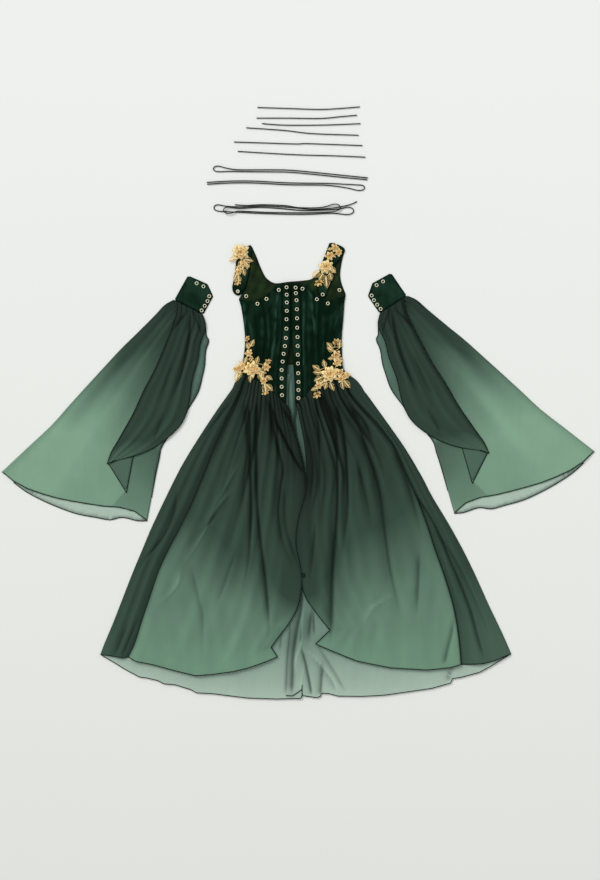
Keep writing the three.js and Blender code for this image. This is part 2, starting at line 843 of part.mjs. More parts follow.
// ---- appliques ----------------------------------------------------------------------------
// A flower: pointed petals that rise from their tips to a rim round the heart.
function flower(petals, radius, height, z = 0) {
  const positions = [];
  const index = [];
  const count = petals * 2;
  const ring = (scale, lift) => {
    for (let i = 0; i < count; i++) {
      const angle = (Math.PI * i) / petals;
      const r = radius * (i % 2 ? scale[1] : scale[0]);
      positions.push(r * Math.cos(angle), r * Math.sin(angle), z + (i % 2 ? lift[1] : lift[0]));
    }
  };
  ring([1, 0.62], [0, 0]);
  ring([1, 0.62], [NET, NET]);
  ring([0.55, 0.38], [height, height * 0.55]);
  positions.push(0, 0, z, 0, 0, z + height * 0.6);
  const foot = count * 3;
  for (let i = 0; i < count; i++) {
    const next = (i + 1) % count;
    index.push(foot, next, i);
    for (const level of [0, 1]) {
      const a = level * count + i;
      const b = level * count + next;
      index.push(a, b, b + count, a, b + count, a + count);
    }
    index.push(foot + 1, 2 * count + i, 2 * count + next);
  }
  const geometry = new THREE.BufferGeometry();
  geometry.setAttribute("position", new THREE.Float32BufferAttribute(positions, 3));
  geometry.setIndex(index);
  return geometry;
}

// A leaf along +X from its stalk, folded up along the rib.
const LEAF_HALF = named(["along", "width"], [
  [0.22, 0.4],
  [0.62, 0.44],
]);

function leaf(length, width, rib) {
  const positions = [];
  const index = [];
  const stalk = [-0.06 * length, 0];
  const rim = [stalk];
  LEAF_HALF.forEach((row) => rim.push([row.along * length, -row.width * width]));
  rim.push([length, 0]);
  [...LEAF_HALF].reverse().forEach((row) => rim.push([row.along * length, row.width * width]));
  rim.forEach(([x, y]) => positions.push(x, y, 0));
  rim.forEach(([x, y]) => positions.push(x, y, NET));
  positions.push(0.4 * length, 0, rib);
  const count = rim.length;
  for (let i = 0; i < count; i++) {
    const next = (i + 1) % count;
    if (i > 0 && i < count - 1) index.push(0, i + 1, i);
    index.push(i, next, next + count, i, next + count, i + count);
    index.push(i + count, next + count, 2 * count);
  }
  const geometry = new THREE.BufferGeometry();
  geometry.setAttribute("position", new THREE.Float32BufferAttribute(positions, 3));
  geometry.setIndex(index);
  return geometry;
}

// What each applique carries: kind, place, size and the direction it points in, in degrees.
// A thread bar joins a motif to the one before it where they don't touch.
const MOTIF_COLUMNS = ["kind", "x", "y", "size", "turn"];
const APPLIQUES = {
  strap_left: named(MOTIF_COLUMNS, [
    ["leaf", -160, 660, 22, 10],
    ["rose", -174, 676, 29, 0],
    ["leaf", -190, 658, 26, 200],
    ["leaf", -163, 650, 24, -20],
    ["small", -172, 640, 14, 20],
    ["leaf", -172, 632, 20, -60],
    ["small", -178, 616, 11, 0],
    ["leaf", -182, 606, 24, -150],
    ["sprig", -181, 604, 22, -80],
  ]),
  strap_right: named(MOTIF_COLUMNS, [
    ["small", 110, 694, 14, 10],
    ["small", 127, 680, 15, 30],
    ["small", 97, 668, 15, 0],
    ["rose", 86, 634, 24, 0],
    ["leaf", 104, 628, 22, -35],
    ["leaf", 84, 618, 27, -80],
    ["leaf", 96, 612, 20, -60],
    ["leaf", 66, 622, 30, 205],
    ["sprig", 62, 604, 22, -120],
  ]),
  hip_left: named(MOTIF_COLUMNS, [
    ["sprig", -156, 404, 20, 100],
    ["leaf", -150, 392, 22, 55],
    ["small", -156, 372, 15, 0],
    ["sprig", -160, 352, 20, -110],
    ["rose", -142, 320, 27, 0],
    ["small", -186, 324, 17, 0],
    ["sprig", -190, 306, 26, -105],
    ["leaf", -146, 300, 26, -95],
    ["leaf", -124, 302, 26, -60],
    ["sprig", -112, 322, 28, 40],
    ["leaf", -108, 298, 24, -35],
    ["leaf", -106, 276, 28, -80],
    ["sprig", -92, 268, 20, -50],
  ]),
  hip_right: named(MOTIF_COLUMNS, [
    ["leaf", 104, 372, 30, 125],
    ["sprig", 116, 378, 26, 75],
    ["leaf", 130, 376, 24, 80],
    ["small", 123, 352, 18, 0],
    ["small", 124, 330, 16, 20],
    ["rose", 98, 298, 27, 0],
    ["leaf", 86, 322, 28, 110],
    ["leaf", 70, 310, 28, 155],
    ["small", 64, 268, 16, 0],
    ["sprig", 60, 254, 26, -95],
    ["leaf", 102, 274, 26, -65],
    ["small", 140, 286, 17, 0],
    ["leaf", 150, 272, 30, -60],
  ]),
};
const ROSE = { petals: 7, height: 5, innerPetals: 5, innerShare: 0.55, innerLift: 3 };
const SMALL_FLOWER = { petals: 5, height: 3 };
const SPRIG_OUTLINE = named(["along", "side"], [
  [-0.08, 0],
  [0.12, -0.08],
  [0.62, -0.42],
  [0.45, -0.08],
  [1, 0],
  [0.45, 0.08],
  [0.62, 0.42],
  [0.12, 0.08],
]);

function motif({ kind, size, turn }) {
  const at = THREE.MathUtils.degToRad(turn);
  if (kind === "rose") {
    const outer = solidOf(flower(ROSE.petals, size, ROSE.height));
    return outer.add(solidOf(flower(ROSE.innerPetals, size * ROSE.innerShare, ROSE.height, ROSE.innerLift)));
  }
  if (kind === "small") {
    return solidOf(flower(SMALL_FLOWER.petals, size, SMALL_FLOWER.height).rotateZ(at));
  }
  if (kind === "leaf") return solidOf(leaf(size, size * 0.6, 2.6).rotateZ(at));
  const outline = SPRIG_OUTLINE.map((row) => [row.along * size, row.side * size]);
  return solidOf(flatLayer(outline, 0, 2 * NET).rotateZ(at));
}

function threadBar(from, to) {
  const length = Math.hypot(to.x - from.x, to.y - from.y);
  const bar = new THREE.BoxGeometry(length, STEM_WIDTH, NET);
  bar.rotateZ(Math.atan2(to.y - from.y, to.x - from.x));
  return bar.translate((from.x + to.x) / 2, (from.y + to.y) / 2, NET / 2);
}

function applique(place, surface) {
  const motifs = APPLIQUES[place];
  let solid = null;
  motifs.forEach((row, i) => {
    const piece = motif(row).translate([row.x, row.y, 0]);
    solid = solid ? solid.add(piece) : piece;
    if (solid.decompose().length > 1) solid = solid.add(solidOf(threadBar(motifs[i - 1], row)));
  });
  const geometry = geometryOf(solid);
  const points = geometry.attributes.position;
  for (let i = 0; i < points.count; i++) {
    points.setZ(i, points.getZ(i) + surface(points.getX(i), points.getY(i)));
  }
  addMesh(dress, `applique_${place}`, geometry, COLOURS.gold, 0.6, 0.2);
}

const strapTop = () => BODICE_FRONT_Z + VELVET + LAYER_GAP;
const hipTop = (x, y) => {
  const side = sideFloor(y);
  const rise = BODICE_FRONT_Z + BODICE_CROWN + 1 - side;
  return side + VELVET + 2 * LAYER_GAP + rise * smooth((sideDistance(x, y) + 2) / CROWN_RUN);
};

// ---- laces --------------------------------------------------------------------------------
const LACE_Z = LACE_DIAMETER / 2 + 0.1;
const LACES = {
  lace_1: [[-126, 1127], [-30, 1124], [65, 1121], [130, 1124], [191, 1129]],
  lace_2: [[-129, 1094], [-30, 1094], [68, 1093], [125, 1098], [182, 1103]],
  lace_3: [[-112, 1077], [-58, 1073], [-5, 1072], [94, 1073], [193, 1077]],
  lace_4: [[-161, 1064], [-98, 1060], [-34, 1055], [46, 1046], [187, 1041]],
  lace_5: [[-199, 1020], [-102, 1017], [-5, 1014], [32, 1015], [199, 1009]],
  lace_6: [[-187, 991], [-88, 985], [10, 980], [120, 977], [208, 973]],
  lace_7: [
    [216, 909], [137, 917], [41, 927], [-30, 933], [-90, 934], [-180, 934], [-215, 937.5],
    [-243, 944], [-256, 944], [-263, 937], [-256, 930], [-240, 928.5], [-215, 929], [-150, 928],
    [-90, 927.5], [-30, 926.5], [41, 920.5], [137, 910.5], [214, 903],
  ],
  lace_8: [
    [-283, 895], [-211, 899], [-136, 899], [-28, 893.5], [84, 892], [150, 889], [185, 887],
    [199, 886], [207, 878.5], [199, 871], [182, 870.5], [150, 878], [84, 886], [-28, 887.5],
    [-136, 893], [-211, 893], [-282, 889],
  ],
  lace_9_tail: [[150, 825.5], [164, 828], [174, 831], [182, 836]],
};

// A route whose steps fall on its own points.
class Route extends THREE.CatmullRomCurve3 {
  getPointAt(t, target) {
    return this.getPoint(t, target);
  }
  getTangentAt(t, target) {
    return this.getTangent(t, target);
  }
}

function lace(name, points) {
  const route = new Route(points.map(([x, y]) => new THREE.Vector3(x, y, LACE_Z)));
  const section = new THREE.Shape();
  for (let i = 0; i < 8; i++) {
    const angle = (Math.PI * (i + 0.5)) / 4;
    const x = (LACE_DIAMETER / 2) * Math.cos(angle);
    const y = (LACE_DIAMETER / 2) * Math.sin(angle);
    if (i === 0) section.moveTo(x, y);
    else section.lineTo(x, y);
  }
  section.closePath();
  const steps = points.length - 1;
  const tube = new THREE.ExtrudeGeometry(section, { extrudePath: route, steps });
  addMesh(dress, name, tube, COLOURS.lace);
}

// The long lace lies folded in a loose hank, sagging in the middle.
const HANK = named(["x", "y", "half"], [
  [-252, 815, 12],
  [-205, 811, 11],
  [-100, 808, 9],
  [40, 804, 10],
  [120, 808, 11],
  [160, 807, 13],
]);

function hank() {
  const upper = HANK.map(({ x, y, half }) => [x, y + half]);
  const lower = HANK.map(({ x, y, half }) => [x, y - half]).reverse();
  const cap = ({ x, y, half }, start) =>
    [36, 72, 108, 144].map((step) => {
      const angle = THREE.MathUtils.degToRad(start - step);
      return [x + half * Math.cos(angle), y + half * Math.sin(angle)];
    });
  const outline = [...upper, ...cap(HANK[HANK.length - 1], 90), ...lower, ...cap(HANK[0], 270)];
  addMesh(dress, "lace_9_hank", flatLayer(outline, 0, HANK_HEIGHT), COLOURS.lace);
}

// ---- the garment --------------------------------------------------------------------------
bodiceBack();
bodiceFront("left", BODICE_SIDE_LEFT, PLACKET_SEAM_LEFT, BASQUE_LEFT);
bodiceFront("right", BODICE_SIDE_RIGHT, PLACKET_SEAM_RIGHT, BASQUE_RIGHT);
placket("left", PLACKET_SEAM_LEFT, PLACKET_EDGE_LEFT, [[-55, 223]]);
placket("right", PLACKET_SEAM_RIGHT, PLACKET_EDGE_RIGHT, [[7, 220]]);
strap("left");
strap("right");
backSkirts();
underskirtFront("left", SKIRT_LEFT, UNDER_HEM_SAG_LEFT);
underskirtFront("right", SKIRT_RIGHT, UNDER_HEM_SAG_RIGHT);
overskirtFront("left", SKIRT_LEFT, BASQUE_LEFT, FOLDS_LEFT);
overskirtFront("right", SKIRT_RIGHT, BASQUE_RIGHT, FOLDS_RIGHT);
sideGore("left", SKIRT_LEFT, BASQUE_LEFT);
sideGore("right", SKIRT_RIGHT, BASQUE_RIGHT);
sleeve("left");
sleeve("right");
applique("strap_left", strapTop);
applique("strap_right", strapTop);
applique("hip_left", hipTop);
applique("hip_right", hipTop);
Object.entries(LACES).forEach(([name, points]) => lace(name, points));
hank();

export default dress;
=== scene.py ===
"""A laced medieval style dress, its two detached trumpet sleeves and its nine laces, laid flat.

The tables are in millimetres in the frame's axes: +Z is up, +Y runs to the shoulders.
"""

import math

import bmesh
import bpy
import numpy as np
from bpy.props import FloatProperty, FloatVectorProperty, IntProperty, PointerProperty
from mathutils import Matrix, Vector


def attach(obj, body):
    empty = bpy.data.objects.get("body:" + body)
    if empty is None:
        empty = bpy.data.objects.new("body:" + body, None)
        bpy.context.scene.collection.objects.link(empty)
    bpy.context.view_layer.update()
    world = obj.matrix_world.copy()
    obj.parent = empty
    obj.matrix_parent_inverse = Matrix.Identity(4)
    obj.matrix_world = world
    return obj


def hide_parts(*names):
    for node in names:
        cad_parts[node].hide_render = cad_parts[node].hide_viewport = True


bl_info = {
    "name": "Laced dress laid flat",
    "version": (1, 0, 0),
    "blender": (4, 5, 0),
    "location": "View3D > Sidebar > Dress",
    "description": "Makes the cloth, lace, eyelets and cords of a laced dress on its solids",
    "category": "Add Mesh",
}

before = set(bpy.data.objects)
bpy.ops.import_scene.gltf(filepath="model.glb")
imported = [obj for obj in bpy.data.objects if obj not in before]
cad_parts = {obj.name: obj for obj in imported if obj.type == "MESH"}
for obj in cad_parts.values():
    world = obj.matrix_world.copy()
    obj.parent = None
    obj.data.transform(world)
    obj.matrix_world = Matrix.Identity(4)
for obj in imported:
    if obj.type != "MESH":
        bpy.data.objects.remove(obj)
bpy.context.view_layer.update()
MM = 0.001

# ---- heights of the stacked layers' undersides, in millimetres -----------------------------
LAYER = 1.3  # one chiffon layer and the air over it
UNDERSKIRT_BACK_Z = LAYER
UNDERSKIRT_FRONT_Z = 2 * LAYER
OVERSKIRT_Z = 3 * LAYER
TURNBACK_Z = 2 * LAYER
BODICE_FRONT_Z = 1.5
BODICE_CROWN = 6.5  # how far the middle of the bodice stands over its side folds
CROWN_RUN = 36  # how far in from a side fold the crown is full
PLACKET_Z = BODICE_FRONT_Z + BODICE_CROWN
UNDER_FOLD = 3  # height of the underskirt's folds below the slit
LAP_LIFT = 2  # how far the right front is raised where it laps over the left one
KNOT_LIFT = 9  # how far the thread's knot lies over the overskirt's underside

# ---- the waist and the seams, in millimetres -----------------------------------------------
WAIST_Y = 330
WAIST_LEFT = -174
WAIST_RIGHT = 138
SEAM_GAP = 0.6  # left free between two pieces where they are sewn together


# ---- small helpers -------------------------------------------------------------------------
def smooth(t):
    t = np.clip(t, 0, 1)
    return t * t * (3 - 2 * t)


def bell(distance, width):
    return np.exp(-((distance / width) ** 2))


def hump(u):
    return 4 * u * (1 - u)


def through(points, t):
    """The smooth curve through the points, at share t of their count."""
    p = np.asarray(points, float)
    place = np.clip(np.asarray(t, float), 0, 1) * (len(p) - 1)
    i = np.minimum(place.astype(int), len(p) - 2)
    f = (place - i)[..., None]
    a, b, c, d = p[np.maximum(i - 1, 0)], p[i], p[i + 1], p[np.minimum(i + 2, len(p) - 1)]
    return b + 0.5 * f * (c - a + f * (2 * a - 5 * b + 4 * c - d + f * (3 * (b - c) + d - a)))


def rounded(points, steps=6):
    """The chain of points with its corners softened."""
    count = (len(points) - 1) * steps + 1
    return through(points, np.linspace(0, 1, count))


def along_x(points, x):
    """Height of a chain of points over x."""
    order = sorted(points)
    return np.interp(x, [p[0] for p in order], [p[1] for p in order])


def linear(r, g, b):
    """A colour named by its screen values, as the linear colour that shaders use."""
    parts = [(c / 255) for c in (r, g, b)]
    return tuple(c / 12.92 if c <= 0.04045 else ((c + 0.055) / 1.055) ** 2.4 for c in parts)


# ---- outline tables, in millimetres --------------------------------------------------------
BODICE_SIDE_LEFT = [
    (-184, 533), (-177, 510), (-172, 480), (-168, 450), (-165, 420),
    (-165, 390), (-168, 362), (-173, 335), (-177, 312), (-179, 299),
]
BODICE_SIDE_RIGHT = [
    (147, 545), (143, 520), (141, 490), (139, 460), (136, 430),
    (135, 400), (136, 365), (137, 335), (142, 312), (152, 297),
]
PLACKET_SEAM_LEFT = [
    (-48.5, 580), (-48.5, 545), (-48.5, 505), (-48.5, 465), (-49, 430),
    (-52, 395), (-56, 360), (-61, 320), (-63, 280), (-62, 232),
]
PLACKET_SEAM_RIGHT = [
    (6, 580), (6.5, 545), (7, 505), (8, 465), (9, 430),
    (10, 395), (11, 360), (12, 320), (12.5, 280), (13, 226),
]
PLACKET_EDGE_LEFT = [(-24, 583), (-24, 468), (-26, 391), (-32, 338), (-36, 285), (-37, 206)]
PLACKET_EDGE_RIGHT = [(-20, 583), (-20, 427), (-16, 338), (-12, 285), (-9, 203.5)]
BASQUE_LEFT = [
    (-179, 299), (-143, 288), (-112, 270), (-84, 248), (-68, 236), (-55, 222), (-37, 206),
]
BASQUE_RIGHT = [
    (-9, 203), (7, 219), (23, 235), (35, 249), (74, 273), (118, 288), (152, 297),
]
# Skirt rows from waist to hem: side fold, seam of gore and front, centre front edge, and sag of
# the front.
SKIRT_LEFT = [
    ((-179, 298), (-160, 292), (-37, 205), 0),
    ((-203, 257), (-178, 252), (-18, 150), 5),
    ((-250, 191), (-205, 192), (5, 72), 0),
    ((-303, 111), (-243, 110), (22, -9), -3),
    ((-362, 14), (-284, 8), (28, -90), -6),
    ((-415, -92), (-325, -92), (28, -190), -10),
    ((-455, -177), (-366, -177), (22, -290), -15),
    ((-484, -246), (-402, -246), (9, -371), -20),
    ((-512, -313), (-432, -313), (-2, -422), -25),
    ((-544, -395), (-460, -395), (-26, -467), -32),
    ((-572, -467), (-484, -467), (-56, -507), -40),
    ((-600, -534), (-505, -534), (-84, -545), -50),
    ((-613, -567), (-525, -576), (-64, -575), -57),
]
SKIRT_RIGHT = [
    ((152, 297), (140, 291), (-9, 202), 0),
    ((204, 248), (156, 250), (5, 160), 8),
    ((240, 200), (190, 205), (18, 95), 2),
    ((281, 143), (240, 150), (25, 25), 0),
    ((333, 68), (296, 75), (25, -55), -3),
    ((382, -15), (335, -12), (0, -150), -6),
    ((416, -80), (366, -80), (-7, -225), -10),
    ((467, -165), (398, -165), (8, -300), -14),
    ((511, -245), (424, -245), (18, -379), -18),
    ((550, -325), (452, -325), (56, -440), -20),
    ((589, -412), (478, -412), (98, -493), -24),
    ((631, -500), (495, -505), (76, -514), -30),
    ((660, -566), (504, -599), (54, -535), -38),
]
OVER_HEM_LEFT = [
    (-525, -576), (-502, -589), (-450, -599), (-381, -618), (-319, -633), (-270, -630),
    (-200, -620), (-156, -610), (-100, -590), (-64, -575),
]
OVER_HEM_RIGHT = [
    (54, -535), (94, -552), (182, -588), (286, -609), (400, -616), (469, -609), (504, -599),
]
GORE_HEM_LEFT = [(-613, -568), (-587, -571), (-541, -579), (-525, -576)]
GORE_HEM_RIGHT = [(504, -599), (545, -598), (577, -596), (615, -585), (660, -566)]
UNDER_HEM_LEFT = [
    (-613, -568), (-577, -589), (-538, -613), (-492, -638), (-473, -640), (-434, -649),
    (-417, -659), (-381, -662), (-332, -677), (-316, -687), (-270, -689), (-205, -697),
    (-156, -703), (-67, -706), (5, -704),
]
UNDER_HEM_RIGHT = [
    (17, -696), (59, -702), (70, -697), (72, -688), (94, -689), (123, -697), (199, -698),
    (268, -694), (338, -684), (414, -673), (474, -656), (476, -643), (504, -639), (563, -623),
    (597, -604), (660, -566),
]
UNDER_HEM_CENTRE_Y = -703.6
CENTRE_SPLIT = 12  # between the two underskirt fronts at the hem
UNDER_TOP_Y = 300  # where the underskirt's fronts start at the middle
UNDER_INSET = 18  # how far they are drawn in from the side folds
BACK_INSET = 14  # how far the underskirt's back is

NECK_AND_SHOULDERS = [
    (-157, 697), (-147, 700), (-134, 675), (-124, 651), (-114, 626), (-103, 604), (-90, 591),
    (-77, 584), (-63, 582), (-27, 587), (11, 590), (43, 596), (62, 617), (79, 655), (92, 693),
    (102, 708), (143, 691), (139, 665), (133, 637), (130, 609), (133, 587), (140, 566), (148, 548),
]
LEFT_ARMHOLE = [(-168, 560), (-158, 590), (-152, 630), (-155, 670)]
STRAP_LEFT = [
    (-143, 700), (-146, 650), (-149, 623), (-152, 609), (-157, 587), (-162, 569), (-169, 557),
    (-176, 548), (-186, 544), (-197, 549), (-203, 559), (-204, 573), (-201, 587), (-196, 616),
    (-192, 651), (-186, 691),
]
STRAP_RIGHT = [
    (102, 707), (143, 690), (139, 672), (124, 648), (110, 623), (104, 590), (93, 559), (88, 543),
    (76, 537), (65, 542), (60, 556), (62, 600), (70, 635), (83, 670), (92, 693),
]
# Sag of each row of a front's cup, from the top edge down.
CUP_SAG = {"left": [-22, -14, -6, 0, 0, 0, 0, 0, 0, 0], "right": [-27, -17, -7, 0, 0, 0, 0, 0, 0, 0]}
# Troughs over the bones: share of the width at the top and at the waist, depth and width.
BODICE_TROUGHS = [(0.3, 0.42, 2.6, 7), (0.52, 0.6, 3, 6), (0.68, 0.74, 2.2, 6), (0.86, 0.87, 1.8, 5)]

# Folds that follow a panel: share across at the waist and hem, height, width, from, to.
FOLDS_LEFT = [
    (0.1, 0.04, 7, 0.04, 0.1, 1.2), (0.22, 0.17, 5, 0.05, 0.15, 0.8),
    (0.34, 0.3, 8, 0.045, 0.05, 1.1), (0.44, 0.46, 6, 0.05, 0.1, 1.3),
    (0.53, 0.58, 10, 0.04, 0.04, 0.9), (0.62, 0.68, 12, 0.045, 0.04, 1.2),
    (0.71, 0.78, 8, 0.04, 0.06, 0.8), (0.79, 0.87, 10, 0.04, 0.05, 1.1),
    (0.88, 0.93, 6, 0.035, 0.06, 0.7),
]
FOLDS_RIGHT = [
    (0.08, 0.05, 6, 0.045, 0.1, 1.2), (0.19, 0.2, 6, 0.05, 0.12, 0.9),
    (0.3, 0.36, 8, 0.045, 0.06, 1.1), (0.4, 0.47, 6, 0.05, 0.1, 0.8),
    (0.49, 0.58, 8, 0.045, 0.05, 1.2), (0.58, 0.7, 12, 0.04, 0.04, 1),
    (0.68, 0.8, 9, 0.04, 0.05, 1.2), (0.78, 0.88, 11, 0.04, 0.05, 1.1),
    (0.88, 0.94, 5, 0.035, 0.06, 0.7),
]
GORE_FOLDS = [(0.35, 0.3, 4, 0.12, 0.15, 1.1), (0.7, 0.66, 5, 0.13, 0.1, 1.2)]
SLEEVE_FOLDS = [
    (0.12, 0.08, 5, 0.06, 0.02, 0.8), (0.27, 0.2, 4, 0.06, 0.02, 0.7), (0.4, 0.33, 3, 0.05, 0.02, 1),
]
OVERLAY_FOLDS = [
    (0.15, 0.08, 4, 0.08, 0.02, 0.9), (0.35, 0.3, 7, 0.07, 0.01, 1),
    (0.55, 0.5, 5, 0.07, 0.01, 0.8), (0.75, 0.78, 7, 0.07, 0.01, 0.9),
]

# Creases pressed into the cloth: depth, width, fade at the foot as a share, the line. A depth
# below nought is a raised one.
CREASES_LEFT = [
    (8, 6, 0.4, [(-152, 199), (-149, 89), (-147, -20), (-145, -135), (-151, -251), (-158, -309),
                 (-174, -400)]),
    (8, 8, 0.2, [(-127, 205), (-129, 122), (-129, 25), (-126, -103), (-116, -219), (-106, -296),
                 (-96, -392), (-87, -535)]),
    (7, 8, 0.3, [(-84, 205), (-74, 122), (-48, 12), (-55, -52), (-61, -135), (-48, -219),
                 (-23, -283), (6, -335)]),
    (9, 5, 0.1, [(-92, 212), (-79, 186), (-54, 125), (-37, 91), (-1, 22), (22, -10)]),
    (5, 6, 0.3, [(-51, 199), (-13, 141), (13, 89)]),
    (5, 7, 0.3, [(-42, -60), (-39, -168), (-13, -257), (13, -322)]),
    (3, 9, 0.6, [(-328, -310), (-308, -399), (-296, -457), (-299, -625)]),
    (4, 8, 0.6, [(-167, 205), (-157, 89), (-167, -39), (-180, -200)]),
    (-4, 10, 0.6, [(-205, -60), (-268, -135), (-300, -206), (-376, -319)]),
    (-3, 9, 0.6, [(-185, 20), (-230, -60), (-262, -110), (-290, -170)]),
    (3, 9, 0.6, [(-240, -120), (-300, -190), (-350, -260)]),
    (-3, 8, 0.6, [(-366, -315), (-379, -360), (-437, -420)]),
    (3, 9, 0.5, [(-196, -260), (-232, -360), (-262, -440)]),
]
CREASES_RIGHT = [
    (9, 12, 0.12, [(66, 245), (97, 180), (114, 125), (120, 50), (122, -71), (117, -186),
                   (107, -302), (103, -441), (101, -540)]),
    (7, 8, 0.5, [(121, 196), (140, 115), (150, 25), (153, -103), (143, -206), (127, -320)]),
    (4, 8, 0.6, [(57, 205), (66, 89), (66, -78), (57, -216)]),
    (6, 15, 0.3, [(169, 190), (205, 89), (250, -52), (269, -193), (285, -305), (306, -400), (323, -490)]),
    (4, 8, 0.6, [(160, 205), (211, 141), (250, 25)]),
    (4, 6, 0.5, [(54, -170), (44, -270), (31, -365)]),
    (4.5, 7, 0.4, [(374, -263), (372, -340), (366, -464)]),
    (4.5, 6, 0.1, [(482, -465), (474, -510), (463, -555), (452, -604)]),
    (4, 11, 0.6, [(185, 22), (217, -116), (230, -216)]),
    (-3, 9, 0.6, [(285, -390), (230, -425), (198, -490)]),
    (4, 8, 0.5, [(30, 120), (46, 20), (38, -90), (20, -190)]),
    (4, 9, 0.5, [(300, 60), (345, -60), (372, -160), (385, -240)]),
]
GORE_CREASES_LEFT = [
    (4, 7, 0.4, [(-376, -70), (-386, -135), (-418, -206), (-476, -277), (-512, -340)]),
    (3, 6, 0.4, [(-205, 215), (-270, 134), (-308, 73)]),
    (3, 6, 0.2, [(-500, -469), (-546, -580)]),
    (3, 6, 0.2, [(-530, -480), (-570, -580)]),
]
GORE_CREASES_RIGHT = [
    (6, 6, 0.1, [(339, -42), (417, -155), (475, -286), (504, -353), (535, -435), (557, -517), (580, -592)]),
    (3, 6, 0.4, [(198, 180), (211, 141), (314, 6), (372, -78)]),
    (3, 7, 0.4, [(430, -190), (500, -300), (570, -450), (606, -545)]),
    (-2, 6, 0.4, [(448, -250), (490, -380), (522, -460)]),
]
UNDER_CREASES = [
    (-3.5, 5, 0.3, [(-24, 330), (-22, 264), (-17, 216), (-13, 176)]),
    (-3, 4, 0.3, [(-33, 250), (-34, 200), (-38, 176)]),
    (8, 5, 0.3, [(-8, 222), (-6, 185), (-10, 150), (0, 100)]),
    (5, 4, 0.2, [(-14, 330), (-30, 240), (-22, 150), (4, 60), (22, -20)]),
    (6, 11, 0.1, [(13, -370), (8, -430), (-4, -489), (-16, -572), (-18, -632), (-21, -700)]),
    (-2.2, 6, 0.2, [(16, -420), (12, -483), (8, -543), (-6, -578), (-10, -640)]),
    (4, 3, 0.2, [(10, -480), (8, -540)]),
    (3, 4, 0.1, [(-29, -460), (-25, -489), (-33, -572), (-36, -632), (-39, -700)]),
    (3, 4, 0.2, [(-51, -500), (-57, -560)]),
    (5, 12, 0.4, [(41, -430), (35, -483), (29, -540)]),
    (4, 3, 0.2, [(48, -435), (50, -515)]),
    (6, 5, 0.1, [(11, -551), (23, -596), (38, -670), (40, -700)]),
    (-1.6, 9, 0.2, [(11, -545), (42, -568), (76, -606), (107, -646), (124, -690)]),
    (3, 9, 0.2, [(44, -575), (73, -611), (103, -650), (118, -690)]),
    (5, 8, 0.1, [(76, -600), (72, -640), (68, -700)]),
    (-1.5, 5, 0.2, [(20, -590), (12, -650), (8, -690)]),
    (3, 6, 0.2, [(60, -540), (110, -620), (150, -690)]),
    (4, 7, 0.1, [(478, -596), (470, -625), (462, -656)]),
]

# ---- eyelets -------------------------------------------------------------------------------
PLACKET_EYELETS_LEFT = [
    (-36, 569), (-35.5, 546), (-35, 522), (-35, 496), (-36, 470), (-36.5, 441), (-38, 412),
    (-41, 387), (-45, 363), (-48, 339), (-51, 313), (-51, 287), (-51, 261), (-50, 235),
]
PLACKET_EYELETS_RIGHT = [
    (-8, 568), (-7, 551), (-5, 529), (-4, 501), (-3.5, 473), (-3, 444), (-2, 415),
    (-1.5, 387), (-1, 360), (-0.5, 333), (0, 303), (1, 276), (1, 251), (1, 226),
]
FRONT_EYELETS_LEFT = [(-60, 561), (-98, 533), (-126, 518)]
FRONT_EYELETS_RIGHT = [(13.5, 564.5), (58, 532), (92, 519)]
BACK_EYELETS = [(-161, 542), (128, 561)]
STRAP_EYELETS = {"left": (-187, 557), "right": (76, 547)}
CUFF_EYELETS = [(35, -9), (58, -8), (88, -27), (90, -43), (89, -60), (87, -77)]
# Half section of a pressed ring: distance from its axis, height over the cloth.
RING_SECTION = [
    (3.7, -1.5), (3.7, 0.2), (3.9, 0.8), (4.3, 1.1), (4.9, 1.05), (5.4, 0.6), (5.7, 0.0),
    (5.4, 0.1), (4.8, 0.45), (4.3, 0.4), (4.1, 0.0), (4.0, -1.5),
]
RING_STEPS = 18

# ---- sleeves, each in its own frame --------------------------------------------------------
# Where each frame lies: x, y, turn in degrees, and -1 where it is mirrored.
SLEEVES = {"left": (-341.5, 606, -27.1, 1), "right": (287.8, 614, 32.4, -1)}
CUFF_Y = -87
CUFF_OUTLINE = [(0, 0), (66, 4), (99, -22), (97, CUFF_Y), (-3, CUFF_Y)]
SLEEVE_OUTER = [
    (-6, CUFF_Y - 1), (-23, -115), (-35, -156), (-58, -228), (-82, -300), (-103, -375),
    (-124, -451), (-145, -529), (-165, -606), (-197, -695), (-236, -804),
]
SLEEVE_UPPER_INNER = [
    (92, CUFF_Y - 1), (100, -118), (108, -160), (118, -230), (128, -300), (140, -375),
    (152, -451), (168, -520), (187, -588), (210, -655), (233, -733),
]
UPPER_HEM_SAG = [0, -17, -25, -26, -24, -18, -10, -1, 12, 15, 0]
OVERLAY_CREASES = [
    (9, 5, 0.4, [(69, -116), (98, -188), (119, -269), (128, -336), (130, -380)]),
    (8, 5, 0.3, [(71, -94), (95, -117), (130, -151)]),
    (8, 5, 0.5, [(49, -108), (41, -145), (37, -190)]),
    (5, 6, 0.4, [(131, -421), (135, -480), (144, -522)]),
    (4, 7, 0.5, [(80, -260), (92, -340), (96, -420)]),
]
SLEEVE_UNDER_HEM = [
    (-189, -817), (-142, -825), (-83, -826), (-24, -822), (32, -814), (89, -797), (130, -784),
    (160, -760), (207, -748), (234, -734),
]
SLEEVE_UNDER_INNER = [
    (213, -664), (193, -597), (179, -544), (170, -500), (189, -392), (189, -371), (193, -321),
    (191, -292), (183, -260), (173, -223), (156, -184), (150, -151), (136, -140), (122, -118),
    (95, CUFF_Y - 1),
]
